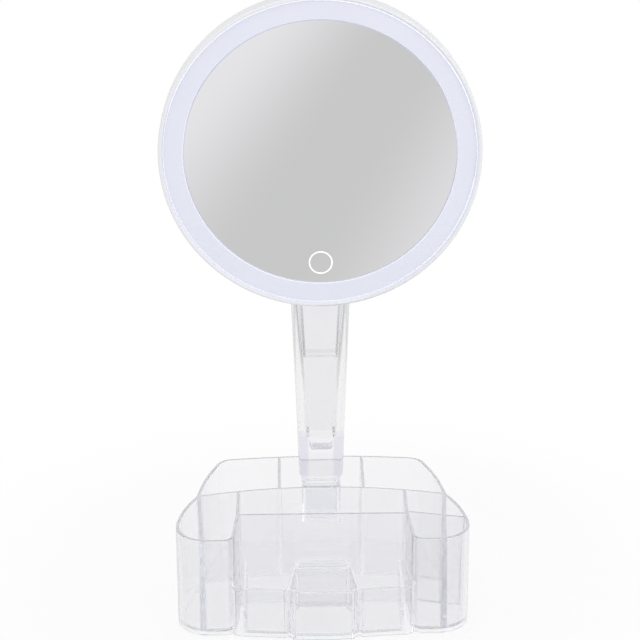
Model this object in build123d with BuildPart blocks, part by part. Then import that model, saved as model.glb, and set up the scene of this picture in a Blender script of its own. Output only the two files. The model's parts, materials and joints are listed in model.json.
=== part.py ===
from build123d import *
from math import atan2, degrees, hypot
import os

os.makedirs("parts", exist_ok=True)

# A clear cosmetic organizer tray with a lit round mirror on a clear stem.
# Millimetres, +Z up, front towards -Y, origin on the table under the middle of the tray.

# Tray, whole
TRAY_WIDTH = 185.0
TRAY_DEPTH = 132.0
TRAY_HEIGHT = 66.5
FRONT_CELL_HEIGHT = 33.5
FOOT_RIM_HEIGHT = 2.0
FOOT_RIM_WIDTH = 2.4
FLOOR_THICKNESS = 2.0
WALL = 2.0
DIVIDER = 1.8
DRAFT_ANGLE = 0.6
RIM_ROUND = 0.5

# Tray, back row
BACK_CORNER_INSET = 26.0
BACK_CORNER_DROP = 5.0
BACK_CORNER_ROUND = 12.0
BACK_DIVIDER_X = 27.5
KINK_INSET = 11.5
KINK_Y = 5.9
SIDE_BULGE = 3.0
BULGE_SHARE = 0.6

# Tray, middle row
MIDDLE_WALL_Y = 17.5
MIDDLE_WALL_RADIUS = 275.0
FRONT_WALL_Y = -22.5
BACK_CUT_Y = 20.0

# Tray, side pods
POD_ROOT_WIDTH = 39.5
POD_FRONT_WIDTH = 36.5
POD_WIDEST_Y = -31.0
POD_SETBACK = 7.5
POD_BULGE = 2.3
POD_WIDEST_ROUND = 40.0
POD_OUTER_ROUND = 21.0
POD_INNER_ROUND = 8.0
POD_DIVIDER = 2.4
POD_DIVIDER_BACK_INSET = 13.0
POD_DIVIDER_FRONT_INSET = 17.0
CROSS_WALL_INNER_Y = -19.5
CROSS_WALL_OUTER_Y = -28.5

# Tray, low front cells
LOBE_SETBACK = 6.5
LOBE_OUTER_ROUND = 7.0
LOBE_JOIN_FRONT_X = 22.2
LOBE_JOIN_BACK_X = 16.7
LOBE_JOIN_SETBACK = 3.0
LOBE_OVERLAP = 4.0
LOBE_GROOVE_RADIUS = 2.7
CENTRE_LOBE_DROP = 1.5
SHELF_WIDTH = 4.5
LEDGE_DEPTH = 9.0
LEDGE_SKIN = 2.0

# Stem and its foot
STEM_Y = 31.0
STEM_DEPTH = 15.0
STEM_WIDTH_FOOT = 28.0
STEM_WIDTH_TOP = 38.6
STEM_TOP_Z = 204.0
STEM_ROUND = 3.0
STEM_SIDE_WALL_TOP = 4.2
STEM_SIDE_WALL_FOOT = 5.6
STEM_FACE_WALL = 2.4
FOOT_LENGTH = 32.5
FOOT_CHAMFER_RUN = 4.0
FOOT_CHAMFER_RISE = 6.0
FOOT_WINDOW_WIDTH = 15.2
FOOT_WINDOW_DEPTH = 9.0
FOOT_WINDOW_ROUND = 2.5
SPIGOT_HEIGHT = 3.0
TAB_THICKNESS = 8.0
TAB_LENGTH = 23.0
TAB_ROUND = 3.0
SOCKET_WALL = 2.2
SOCKET_FLOOR = 2.2
FIT_GAP = 0.15
SLIDE_GAP = 0.3

# Neck on top of the stem
PLUG_LENGTH = 49.0
PLUG_WALL = 1.8
COLLAR_HEIGHT = 1.5
HINGE_LIFT = 18.0
KNUCKLE_RADIUS = 8.0
KNUCKLE_HALF_WIDTH = 9.4
NECK_DEPTH = 12.0
HINGE_BORE = 2.5
HINGE_PLAY = 0.05
WASHER_THICKNESS = 0.6
WASHER_RADIUS = 6.5
EAR_THICKNESS = 4.5
EAR_DROP = 9.0
EAR_RISE = 14.0
EAR_ROOT_Y = 19.5
EAR_ROOT_DEPTH = 2.0
SCREW_HEAD_RADIUS = 4.4
SCREW_HEAD_HEIGHT = 2.6
SCREW_SLOT_WIDTH = 1.2
SCREW_SLOT_DEPTH = 1.2
NUT_FLATS = 8.0
NUT_HEIGHT = 3.5
SCREW_TIP = 0.5

# Mirror head, across
GLASS_RADIUS = 83.2
GLASS_THICKNESS = 3.0
GLASS_BEVEL = 0.4
RING_GAP = 0.3
RING_WIDTH = 12.1
DIFFUSER_PROUD = 1.0
DIFFUSER_BACK_Y = 0.5
DIFFUSER_SKIRT = 1.5
DIFFUSER_ROUND = 0.5
BEZEL_WALL = 2.7
BEZEL_LIP = 2.0
BEZEL_ROUND = 1.2
BEZEL_LEDGE = 1.4
RIM_BACK_Y = 6.0
SPIGOT_LENGTH = 1.6
HINGE_RISE = 21.0

# Touch switch behind the lower part of the glass
TOUCH_INSET = 12.9
TOUCH_RING_OUTER = 7.4
TOUCH_RING_INNER = 6.6
TOUCH_RING_DEPTH = 0.3
TOUCH_DISC_RADIUS = 9.0
TOUCH_DISC_THICKNESS = 0.4
TOUCH_HOLE_RADIUS = 10.0
TOUCH_SPRING_WIDTH = 4.0
TOUCH_SPRING_LEAF = 0.4

# Light box and circuit boards
BOX_PLATE = 1.4
BOX_WALL = 1.4
BOX_GAP = 0.5
BOX_RING_THICKNESS = 1.2
BOARD_THICKNESS = 1.2
LED_BOARD_BACK_Y = 7.0
LED_COUNT = 36
LED_OFFSET = 0.5
LED_WIDTH = 2.8
LED_LENGTH = 3.5
LED_HEIGHT = 0.8
CONTROL_WIDTH = 46.0
CONTROL_HEIGHT = 26.0
CONTROL_RISE = 6.7
CONTROL_FRONT_Y = 5.4
CONTROL_POST_RADIUS = 2.0
CONTROL_POST_INSET = 4.0
CHIP_SIZE = 7.0
CHIP_HEIGHT = 1.6
PLUG_WIDTH = 9.0
PLUG_DEPTH = 5.0
PLUG_HEIGHT = 5.5
CAPACITOR_RADIUS = 3.0
CAPACITOR_HEIGHT = 6.0

# Rear housing and its screws
HOUSING_BACK_Y = 22.0
HOUSING_WALL = 2.2
HOUSING_SHOULDER = 20.6
POST_INSET = 17.2
POST_COUNT = 6
POST_RADIUS = 3.2
POST_PILOT = 1.35
WELL_RADIUS = 4.6
WELL_RECESS = 3.2
WELL_SEAT_Y = 16.5
WELL_SEAT_THICKNESS = 1.2
SCREW_RADIUS = 1.3
SCREW_CAP_RADIUS = 2.8
SCREW_CAP_HEIGHT = 1.8
SCREW_LENGTH = 10.0
SCREW_CLEARANCE = 0.3

# Battery bay, cells and door
BAY_PLAY = 0.65
BAY_DROP = 2.1
BAY_FRONT_Y = 3.0
BAY_FLOOR = 1.2
BAY_WALL = 2.6
BAY_LEDGE = 1.4
CELL_RADIUS = 7.25
CELL_LENGTH = 49.5
CELL_NUB_RADIUS = 2.75
CELL_NUB_LENGTH = 1.0
CELL_EDGE = 0.6
CELL_PITCH = 15.2
CELL_COUNT = 4
CONTACT_REACH = 2.35
CONTACT_LEAF = 0.4
CONTACT_WIDTH = 8.0
CONTACT_BUTTON_RADIUS = 2.0
DOOR_THICKNESS = 2.0
DOOR_GAP = 0.35
DOOR_HINGE_GAP = 0.85
DOOR_PIN_RADIUS = 0.8
DOOR_PIN_REACH = 0.8
DOOR_PIN_INSET = 1.2
DOOR_PIN_DEPTH = 1.5
DOOR_PIN_PLAY = 0.08
DOOR_ROUND = 0.8
DOOR_RELIEF_HEIGHT = 4.0
DOOR_RELIEF_DEPTH = 1.4
DOOR_NOTCH_RADIUS = 7.0
DOOR_NOTCH_DEPTH = 0.8


def strip_between(start, end, width):
    """Straight wall of one thickness between two plan points."""
    run_x, run_y = end[0] - start[0], end[1] - start[1]
    with BuildSketch() as strip:
        with Locations(((start[0] + end[0]) / 2, (start[1] + end[1]) / 2)):
            Rectangle(hypot(run_x, run_y), width, rotation=degrees(atan2(run_y, run_x)))
    return strip.sketch


def write(piece, name):
    """One labelled node, one file."""
    piece.part.label = name
    export_step(piece.part, f"parts/{name}.step")


# Tray plan: the tall walls run round the back row, the middle row and the two side pods
BACK_Y = TRAY_DEPTH / 2
FRONT_Y = -TRAY_DEPTH / 2
FLOOR_TOP = FOOT_RIM_HEIGHT + FLOOR_THICKNESS
BACK_CORNER_X = TRAY_WIDTH / 2 - BACK_CORNER_INSET
BACK_CORNER_Y = BACK_Y - BACK_CORNER_DROP
KINK_X = TRAY_WIDTH / 2 - KINK_INSET
POD_ROOT_X = TRAY_WIDTH / 2 - POD_ROOT_WIDTH
POD_FOOT_X = TRAY_WIDTH / 2 - POD_FRONT_WIDTH
PANEL_HALF_WIDTH = POD_ROOT_X - WALL / 2
LOBE_OUTER_X = POD_FOOT_X + WALL
FRONT_CELLS_HALF_WIDTH = POD_ROOT_X - SHELF_WIDTH
POD_DIVIDER_BACK_X = TRAY_WIDTH / 2 - POD_DIVIDER_BACK_INSET
POD_DIVIDER_FRONT_X = TRAY_WIDTH / 2 - POD_DIVIDER_FRONT_INSET
POD_FRONT_Y = FRONT_Y + POD_SETBACK
LOBE_OUTER_Y = FRONT_Y + LOBE_SETBACK
LOBE_JOIN_Y = FRONT_Y + LOBE_JOIN_SETBACK


def middle_wall_y(x):
    """Where the arched middle wall runs at this distance from the centre."""
    return MIDDLE_WALL_Y - MIDDLE_WALL_RADIUS + (MIDDLE_WALL_RADIUS**2 - x**2) ** 0.5


def back_wall_y(x):
    """Where the outside of the arched back wall runs at this distance from the centre."""
    radius = (BACK_CORNER_X**2 + BACK_CORNER_DROP**2) / (2 * BACK_CORNER_DROP)
    return BACK_Y - radius + (radius**2 - x**2) ** 0.5


def bowed(start, end, bow):
    """Point beside the middle of a straight run, pushed out to its right by this much."""
    run_x, run_y = end[0] - start[0], end[1] - start[1]
    share = bow / hypot(run_x, run_y)
    return ((start[0] + end[0]) / 2 + share * run_y, (start[1] + end[1]) / 2 - share * run_x)


def bulge_radius(start, end, bow):
    """Radius that rounds a bowed run over its share of the length."""
    return BULGE_SHARE * hypot(end[0] - start[0], end[1] - start[1]) ** 2 / (4 * bow)


def join_x(y):
    """Where the fanned joint between two front cells runs at this depth."""
    share = (y - FRONT_WALL_Y) / (LOBE_JOIN_Y - FRONT_WALL_Y)
    return LOBE_JOIN_BACK_X + share * (LOBE_JOIN_FRONT_X - LOBE_JOIN_BACK_X)


with BuildSketch() as half_plan:
    corner = (-BACK_CORNER_X, BACK_CORNER_Y)
    kink = (-KINK_X, KINK_Y)
    widest = (-TRAY_WIDTH / 2, POD_WIDEST_Y)
    pod_corner = (-TRAY_WIDTH / 2, POD_FRONT_Y)
    foot_corner = (-POD_FOOT_X, POD_FRONT_Y)
    side_bow = bowed(corner, kink, SIDE_BULGE)
    pod_bow = bowed(kink, widest, POD_BULGE)
    with BuildLine():
        ThreePointArc((0, BACK_Y), (-BACK_CORNER_X / 2, back_wall_y(BACK_CORNER_X / 2)), corner)
        Polyline(corner, side_bow, kink, pod_bow, widest, pod_corner, foot_corner)
        Polyline(foot_corner, (-POD_ROOT_X, FRONT_WALL_Y), (0, FRONT_WALL_Y), (0, BACK_Y))
    make_face()
    for point, radius in (
        (corner, BACK_CORNER_ROUND),
        (side_bow, bulge_radius(corner, kink, SIDE_BULGE)),
        (pod_bow, bulge_radius(kink, widest, POD_BULGE)),
        (widest, POD_WIDEST_ROUND),
        (pod_corner, POD_OUTER_ROUND),
        (foot_corner, POD_INNER_ROUND),
    ):
        fillet(half_plan.vertices().sort_by_distance(point)[0], radius)

with BuildSketch() as tall_plan:
    add(half_plan.sketch)
    mirror(half_plan.sketch, about=Plane.YZ)

# Three low lobes in front of the middle row, with a groove down each joint between them
LOBE_BACK_Y = FRONT_WALL_Y + 2 * WALL
CENTRE_FRONT_Y = FRONT_Y + CENTRE_LOBE_DROP
with BuildSketch() as front_plan:
    with BuildLine():
        ThreePointArc(
            (-LOBE_JOIN_FRONT_X, CENTRE_FRONT_Y), (0, FRONT_Y), (LOBE_JOIN_FRONT_X, CENTRE_FRONT_Y)
        )
        Polyline(
            (LOBE_JOIN_FRONT_X, CENTRE_FRONT_Y),
            (LOBE_JOIN_FRONT_X, LOBE_BACK_Y),
            (-LOBE_JOIN_FRONT_X, LOBE_BACK_Y),
            (-LOBE_JOIN_FRONT_X, CENTRE_FRONT_Y),
        )
    make_face()
    for side in (-1, 1):
        with BuildSketch() as side_lobe:
            with BuildLine():
                Polyline(
                    (side * (LOBE_JOIN_FRONT_X - LOBE_OVERLAP), LOBE_BACK_Y),
                    (side * LOBE_OUTER_X, LOBE_BACK_Y),
                    (side * LOBE_OUTER_X, LOBE_OUTER_Y),
                    (side * LOBE_JOIN_FRONT_X, LOBE_JOIN_Y),
                    (side * (LOBE_JOIN_FRONT_X - LOBE_OVERLAP), LOBE_JOIN_Y),
                    close=True,
                )
            make_face()
            fillet(side_lobe.vertices().group_by(Axis.Y)[1], LOBE_OUTER_ROUND)
    with Locations(*[(side * LOBE_JOIN_FRONT_X, CENTRE_FRONT_Y) for side in (-1, 1)]):
        Circle(LOBE_GROOVE_RADIUS, mode=Mode.SUBTRACT)

with BuildSketch() as tray_plan:
    add(tall_plan.sketch)
    add(front_plan.sketch)

# Open spaces between the walls, as they are at the rim
ARCH_CENTRE = (0, MIDDLE_WALL_Y - MIDDLE_WALL_RADIUS)

with BuildSketch() as back_space:
    add(tall_plan.sketch)
    offset(amount=-WALL, mode=Mode.REPLACE)
    with Locations(ARCH_CENTRE):
        Circle(MIDDLE_WALL_RADIUS + DIVIDER / 2, mode=Mode.SUBTRACT)

with BuildSketch() as middle_space:
    with Locations((0, FRONT_WALL_Y + WALL)):
        Rectangle(2 * POD_ROOT_X, TRAY_DEPTH, align=(Align.CENTER, Align.MIN))
    with Locations(ARCH_CENTRE):
        Circle(MIDDLE_WALL_RADIUS - DIVIDER / 2, mode=Mode.INTERSECT)

with BuildSketch() as left_pod_space:
    add(tall_plan.sketch)
    offset(amount=-WALL, mode=Mode.REPLACE)
    with Locations(ARCH_CENTRE):
        Circle(MIDDLE_WALL_RADIUS - DIVIDER / 2, mode=Mode.INTERSECT)
    with Locations((-POD_ROOT_X - WALL, 0)):
        Rectangle(TRAY_WIDTH, 2 * TRAY_DEPTH, align=(Align.MAX, Align.CENTER), mode=Mode.INTERSECT)

with BuildSketch() as front_inside:
    add(front_plan.sketch)
    offset(amount=-WALL, mode=Mode.REPLACE)
    add(tall_plan.sketch, mode=Mode.SUBTRACT)

with BuildSketch() as front_space:
    add(front_inside.sketch)
    Rectangle(2 * FRONT_CELLS_HALF_WIDTH, TRAY_DEPTH, mode=Mode.INTERSECT)

# Narrow shelves between the front cells and the pods, hollow and open from below
with BuildSketch() as shelf_cores:
    add(front_inside.sketch)
    Rectangle(2 * (FRONT_CELLS_HALF_WIDTH + WALL), TRAY_DEPTH, mode=Mode.SUBTRACT)

with BuildSketch() as tall_spaces:
    add(back_space.sketch)
    add(middle_space.sketch)
    add(left_pod_space.sketch)
    mirror(left_pod_space.sketch, about=Plane.YZ)

# The whole moulding: two heights of wall, drafted spaces from the rim down, a foot rim below
with BuildPart() as shell:
    with BuildSketch():
        add(tray_plan.sketch)
    extrude(amount=FRONT_CELL_HEIGHT)
    with BuildSketch():
        add(tall_plan.sketch)
    extrude(amount=TRAY_HEIGHT)
    with BuildSketch(Plane.XY.offset(TRAY_HEIGHT)):
        add(tall_spaces.sketch)
    extrude(amount=FLOOR_TOP - TRAY_HEIGHT, taper=DRAFT_ANGLE, mode=Mode.SUBTRACT)
    with BuildSketch(Plane.XY.offset(FRONT_CELL_HEIGHT)):
        add(front_space.sketch)
    extrude(amount=FLOOR_TOP - FRONT_CELL_HEIGHT, mode=Mode.SUBTRACT)
    with BuildSketch():
        add(tray_plan.sketch)
        offset(amount=-FOOT_RIM_WIDTH, mode=Mode.REPLACE)
    extrude(amount=FOOT_RIM_HEIGHT, mode=Mode.SUBTRACT)
    with BuildSketch():
        add(shelf_cores.sketch)
    extrude(amount=FRONT_CELL_HEIGHT - WALL, mode=Mode.SUBTRACT)
    fillet(shell.faces().sort_by(Axis.Z)[-1].edges(), RIM_ROUND)
    front_rim = shell.faces().filter_by(Axis.Z).sort_by(lambda f: abs(f.center().Z - FRONT_CELL_HEIGHT))[0]
    fillet(front_rim.edges().filter_by(lambda e: e.center().Y < LOBE_OUTER_Y - WALL / 2), RIM_ROUND)

# Ledge across the middle front cell, hollow and open from below
LEDGE_FRONT_Y = FRONT_WALL_Y - LEDGE_DEPTH
with BuildSketch() as ledge_plan:
    with BuildLine():
        Polyline(
            (-LOBE_JOIN_BACK_X, FRONT_WALL_Y),
            (LOBE_JOIN_BACK_X, FRONT_WALL_Y),
            (join_x(LEDGE_FRONT_Y), LEDGE_FRONT_Y),
            (-join_x(LEDGE_FRONT_Y), LEDGE_FRONT_Y),
            close=True,
        )
    make_face()
with BuildSketch() as ledge_core:
    add(ledge_plan.sketch)
    offset(amount=-LEDGE_SKIN, kind=Kind.INTERSECTION, mode=Mode.REPLACE)

with BuildPart() as tray_floor:
    add(shell.part)
    Box(
        2 * TRAY_WIDTH,
        2 * TRAY_DEPTH,
        FLOOR_TOP,
        align=(Align.CENTER, Align.CENTER, Align.MIN),
        mode=Mode.INTERSECT,
    )
    with BuildSketch():
        add(ledge_core.sketch)
    extrude(amount=FLOOR_TOP, mode=Mode.SUBTRACT)
write(tray_floor, "tray_floor")

with BuildPart() as walls:
    add(shell.part)
    split(bisect_by=Plane.XY.offset(FLOOR_TOP), keep=Keep.TOP)

with BuildPart() as tall_block:
    with BuildSketch():
        add(tall_plan.sketch)
    extrude(amount=TRAY_HEIGHT)

# Walls above the floor, parted by flat cuts
with BuildPart() as tray_back_wall:
    add(walls.part)
    with Locations((0, BACK_CUT_Y)):
        Box(
            TRAY_WIDTH,
            TRAY_DEPTH,
            2 * TRAY_HEIGHT,
            align=(Align.CENTER, Align.MIN, Align.CENTER),
            mode=Mode.INTERSECT,
        )
write(tray_back_wall, "tray_back_wall")

with BuildPart() as tray_middle_wall:
    add(walls.part)
    Box(
        2 * PANEL_HALF_WIDTH,
        BACK_CUT_Y,
        TRAY_HEIGHT,
        align=(Align.CENTER, Align.MIN, Align.MIN),
        mode=Mode.INTERSECT,
    )
write(tray_middle_wall, "tray_middle_wall")

with BuildPart() as tray_front_wall:
    add(walls.part)
    with Locations((0, FRONT_WALL_Y)):
        Box(
            2 * PANEL_HALF_WIDTH,
            -FRONT_WALL_Y,
            TRAY_HEIGHT,
            align=(Align.CENTER, Align.MIN, Align.MIN),
            mode=Mode.INTERSECT,
        )
write(tray_front_wall, "tray_front_wall")

with BuildPart() as front_cells_wall:
    add(walls.part)
    split(bisect_by=Plane.XZ.offset(-FRONT_WALL_Y), keep=Keep.TOP)
    add(tall_block.part, mode=Mode.SUBTRACT)
write(front_cells_wall, "front_cells_wall")

with BuildPart() as left_pod_wall:
    add(walls.part)
    with Locations((-PANEL_HALF_WIDTH, BACK_CUT_Y)):
        Box(
            TRAY_WIDTH,
            TRAY_DEPTH,
            TRAY_HEIGHT,
            align=(Align.MAX, Align.MAX, Align.MIN),
            mode=Mode.INTERSECT,
        )
    add(tall_block.part, mode=Mode.INTERSECT)
write(left_pod_wall, "left_pod_wall")

with BuildPart() as right_pod_wall:
    mirror(left_pod_wall.part, about=Plane.YZ)
write(right_pod_wall, "right_pod_wall")


def standing_strip(start, end, width, height):
    """Drafted upright panel between two plan points, rounded along its top."""
    with BuildPart() as panel:
        with BuildSketch(Plane.XY.offset(height)):
            add(strip_between(start, end, width))
        extrude(amount=FLOOR_TOP - height, taper=-DRAFT_ANGLE)
        fillet(panel.faces().sort_by(Axis.Z)[-1].edges(), RIM_ROUND)
    return panel.part


# Dividers, each ending inside the walls it joins and trimmed to them
with BuildPart() as back_divider_left:
    add(
        standing_strip(
            (-BACK_DIVIDER_X, middle_wall_y(BACK_DIVIDER_X)),
            (-BACK_DIVIDER_X, back_wall_y(BACK_DIVIDER_X) - WALL / 2),
            DIVIDER,
            TRAY_HEIGHT,
        )
    )
    add(shell.part, mode=Mode.SUBTRACT)
write(back_divider_left, "back_divider_left")

with BuildPart() as back_divider_right:
    mirror(back_divider_left.part, about=Plane.YZ)
write(back_divider_right, "back_divider_right")

with BuildPart() as left_pod_divider:
    add(
        standing_strip(
            (-POD_DIVIDER_BACK_X, middle_wall_y(POD_DIVIDER_BACK_X) - DIVIDER / 2 + RIM_ROUND),
            (-POD_DIVIDER_FRONT_X, POD_FRONT_Y + WALL - RIM_ROUND),
            POD_DIVIDER,
            TRAY_HEIGHT,
        )
    )
    add(tall_block.part, mode=Mode.INTERSECT)
    add(shell.part, mode=Mode.SUBTRACT)
write(left_pod_divider, "left_pod_divider")

with BuildPart() as right_pod_divider:
    mirror(left_pod_divider.part, about=Plane.YZ)
write(right_pod_divider, "right_pod_divider")

with BuildPart() as right_pod_cross_wall:
    add(
        standing_strip(
            (POD_ROOT_X + WALL - RIM_ROUND, CROSS_WALL_INNER_Y),
            (TRAY_WIDTH / 2 - WALL + RIM_ROUND, CROSS_WALL_OUTER_Y),
            DIVIDER,
            TRAY_HEIGHT,
        )
    )
    add(tall_block.part, mode=Mode.INTERSECT)
    add(shell.part, mode=Mode.SUBTRACT)
    add(right_pod_divider.part, mode=Mode.SUBTRACT)
write(right_pod_cross_wall, "right_pod_cross_wall")

FRONT_DIVIDER_END_Y = CENTRE_FRONT_Y + LOBE_GROOVE_RADIUS + WALL / 2
with BuildPart() as front_divider_left:
    add(
        standing_strip(
            (-join_x(FRONT_WALL_Y + WALL / 2), FRONT_WALL_Y + WALL / 2),
            (-join_x(FRONT_DIVIDER_END_Y), FRONT_DIVIDER_END_Y),
            DIVIDER,
            FRONT_CELL_HEIGHT,
        )
    )
    add(shell.part, mode=Mode.SUBTRACT)
write(front_divider_left, "front_divider_left")

with BuildPart() as front_divider_right:
    mirror(front_divider_left.part, about=Plane.YZ)
write(front_divider_right, "front_divider_right")

with BuildPart() as front_ledge:
    with BuildSketch(Plane.XY.offset(FLOOR_TOP)):
        add(ledge_plan.sketch)
    extrude(amount=FRONT_CELL_HEIGHT - FLOOR_TOP)
    fillet(front_ledge.faces().sort_by(Axis.Z)[-1].edges().sort_by(Axis.Y)[0], RIM_ROUND)
    with BuildSketch(Plane.XY.offset(FLOOR_TOP)):
        add(ledge_core.sketch)
    extrude(amount=FRONT_CELL_HEIGHT - FLOOR_TOP - LEDGE_SKIN, mode=Mode.SUBTRACT)
    add(front_divider_left.part, mode=Mode.SUBTRACT)
    add(front_divider_right.part, mode=Mode.SUBTRACT)
write(front_ledge, "front_ledge")


def stem_width(z):
    """Outer width of the stem, which widens upwards from its foot."""
    share = (z - TRAY_HEIGHT) / (STEM_TOP_Z - TRAY_HEIGHT)
    return STEM_WIDTH_FOOT + share * (STEM_WIDTH_TOP - STEM_WIDTH_FOOT)


def stem_section(z, inset):
    """Outer section of the stem at one height, drawn in by the same amount all round."""
    with BuildSketch(Plane.XY.offset(z)) as section:
        with Locations((0, STEM_Y)):
            RectangleRounded(stem_width(z) - 2 * inset, STEM_DEPTH - 2 * inset, STEM_ROUND - inset)
    return section.sketch


def bore_section(z, inset):
    """Section of the stem's hollow at one height, drawn in by this amount all round."""
    share = (z - TRAY_HEIGHT) / (STEM_TOP_Z - TRAY_HEIGHT)
    side_wall = STEM_SIDE_WALL_FOOT + share * (STEM_SIDE_WALL_TOP - STEM_SIDE_WALL_FOOT)
    with BuildSketch(Plane.XY.offset(z)) as section:
        with Locations((0, STEM_Y)):
            RectangleRounded(
                stem_width(z) - 2 * (side_wall + inset),
                STEM_DEPTH - 2 * (STEM_FACE_WALL + inset),
                STEM_ROUND / 2,
            )
    return section.sketch


# Socket behind the middle wall that takes the stem's tab
TAB_WIDTH = STEM_WIDTH_FOOT - 2 * FOOT_CHAMFER_RUN
TAB_BOTTOM_Z = TRAY_HEIGHT - TAB_LENGTH
SLOT_BOTTOM_Z = TAB_BOTTOM_Z - SLIDE_GAP
SOCKET_BACK_Y = STEM_Y + TAB_THICKNESS / 2 + SLIDE_GAP + SOCKET_WALL
SLOT_WIDTH = TAB_WIDTH + 2 * SLIDE_GAP
SLOT_DEPTH = TAB_THICKNESS + 2 * SLIDE_GAP
SLOT_FRONT_Y = STEM_Y - SLOT_DEPTH / 2
with BuildPart() as stem_socket:
    with Locations((0, MIDDLE_WALL_Y, SLOT_BOTTOM_Z - SOCKET_FLOOR)):
        Box(
            SLOT_WIDTH + 2 * SOCKET_WALL,
            SOCKET_BACK_Y - MIDDLE_WALL_Y,
            TRAY_HEIGHT - SLOT_BOTTOM_Z + SOCKET_FLOOR,
            align=(Align.CENTER, Align.MIN, Align.MIN),
        )
    back_corners = stem_socket.edges().filter_by(Axis.Z).group_by(Axis.Y)[-1]
    fillet(back_corners, SOCKET_WALL / 2)
    with Locations((0, STEM_Y, SLOT_BOTTOM_Z)):
        Box(
            SLOT_WIDTH,
            SLOT_DEPTH,
            TRAY_HEIGHT,
            align=(Align.CENTER, Align.CENTER, Align.MIN),
            mode=Mode.SUBTRACT,
        )
    with Locations((0, SLOT_FRONT_Y - SOCKET_WALL, SLOT_BOTTOM_Z - SOCKET_FLOOR)):
        Box(
            SLOT_WIDTH,
            SLOT_FRONT_Y - SOCKET_WALL - MIDDLE_WALL_Y - SOCKET_WALL,
            TRAY_HEIGHT - SLOT_BOTTOM_Z,
            align=(Align.CENTER, Align.MAX, Align.MIN),
            mode=Mode.SUBTRACT,
        )
    add(walls.part, mode=Mode.SUBTRACT)
write(stem_socket, "stem_socket")

# Stem: hollow tapered tube on a solid foot, glued over the foot's spigot
STEM_BOTTOM_Z = TRAY_HEIGHT + FOOT_LENGTH
CHAMFER_TOP_X = stem_width(TRAY_HEIGHT + FOOT_CHAMFER_RISE) / 2
with BuildPart() as stem:
    loft([stem_section(STEM_BOTTOM_Z, 0), stem_section(STEM_TOP_Z, 0)])
    loft([bore_section(STEM_BOTTOM_Z, 0), bore_section(STEM_TOP_Z, 0)], mode=Mode.SUBTRACT)
write(stem, "stem")

with BuildPart() as stem_foot:
    loft([stem_section(TRAY_HEIGHT, 0), stem_section(STEM_BOTTOM_Z, 0)])
    with BuildSketch(Plane.XZ.offset(-STEM_Y)):
        for side in (-1, 1):
            with BuildLine():
                Polyline(
                    (side * TAB_WIDTH / 2, TRAY_HEIGHT),
                    (side * STEM_WIDTH_FOOT, TRAY_HEIGHT),
                    (side * STEM_WIDTH_FOOT, TRAY_HEIGHT + FOOT_CHAMFER_RISE),
                    (side * CHAMFER_TOP_X, TRAY_HEIGHT + FOOT_CHAMFER_RISE),
                    close=True,
                )
            make_face()
    extrude(amount=STEM_DEPTH, both=True, mode=Mode.SUBTRACT)
    loft(
        [
            bore_section(STEM_BOTTOM_Z, FIT_GAP),
            bore_section(STEM_BOTTOM_Z + SPIGOT_HEIGHT, FIT_GAP),
        ]
    )
    with Locations((0, STEM_Y, TAB_BOTTOM_Z)):
        Box(TAB_WIDTH, TAB_THICKNESS, TAB_LENGTH, align=(Align.CENTER, Align.CENTER, Align.MIN))
    tab_corners = stem_foot.edges().filter_by(Axis.Y).group_by(Axis.Z)[0]
    fillet(tab_corners, TAB_ROUND)
    with BuildSketch(Plane.XZ.offset(-STEM_Y)):
        with Locations((0, STEM_BOTTOM_Z - FOOT_WINDOW_DEPTH)):
            RectangleRounded(
                FOOT_WINDOW_WIDTH,
                2 * FOOT_WINDOW_DEPTH,
                FOOT_WINDOW_ROUND,
                align=(Align.CENTER, Align.MIN),
            )
    extrude(amount=STEM_DEPTH / 2 - STEM_FACE_WALL, both=True, mode=Mode.SUBTRACT)
write(stem_foot, "stem_foot")

# Neck: a hollow plug down the stem, a collar on its end and the hinge knuckle above
PLUG_BOTTOM_Z = STEM_TOP_Z - PLUG_LENGTH
HINGE_Z = STEM_TOP_Z + HINGE_LIFT
COLLAR_TOP_Z = STEM_TOP_Z + COLLAR_HEIGHT
with BuildPart() as stem_neck:
    loft([bore_section(PLUG_BOTTOM_Z, FIT_GAP), bore_section(STEM_TOP_Z, FIT_GAP)])
    with BuildSketch(Plane.XY.offset(STEM_TOP_Z)):
        with Locations((0, STEM_Y)):
            RectangleRounded(STEM_WIDTH_TOP, STEM_DEPTH, STEM_ROUND)
    extrude(amount=COLLAR_HEIGHT)
    with Locations((0, STEM_Y, STEM_TOP_Z)):
        Box(
            2 * KNUCKLE_HALF_WIDTH,
            NECK_DEPTH,
            HINGE_Z - STEM_TOP_Z,
            align=(Align.CENTER, Align.CENTER, Align.MIN),
        )
    with Locations((0, STEM_Y, HINGE_Z)):
        Cylinder(KNUCKLE_RADIUS, 2 * KNUCKLE_HALF_WIDTH, rotation=(0, 90, 0))
        Cylinder(HINGE_BORE, 2 * KNUCKLE_HALF_WIDTH, rotation=(0, 90, 0), mode=Mode.SUBTRACT)
    loft(
        [
            bore_section(PLUG_BOTTOM_Z, FIT_GAP + PLUG_WALL),
            bore_section(STEM_TOP_Z - PLUG_WALL, FIT_GAP + PLUG_WALL),
        ],
        mode=Mode.SUBTRACT,
    )
write(stem_neck, "stem_neck")

# Hinge between the neck and the two ears of the rear housing
EAR_INNER_X = KNUCKLE_HALF_WIDTH + WASHER_THICKNESS
EAR_OUTER_X = EAR_INNER_X + EAR_THICKNESS
with BuildPart() as hinge_washers:
    with BuildSketch(Plane.YZ.offset(KNUCKLE_HALF_WIDTH)):
        with Locations((STEM_Y, HINGE_Z)):
            Circle(WASHER_RADIUS)
            Circle(HINGE_BORE, mode=Mode.SUBTRACT)
    extrude(amount=WASHER_THICKNESS)
    mirror(about=Plane.YZ)
write(hinge_washers, "hinge_washers")

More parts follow.
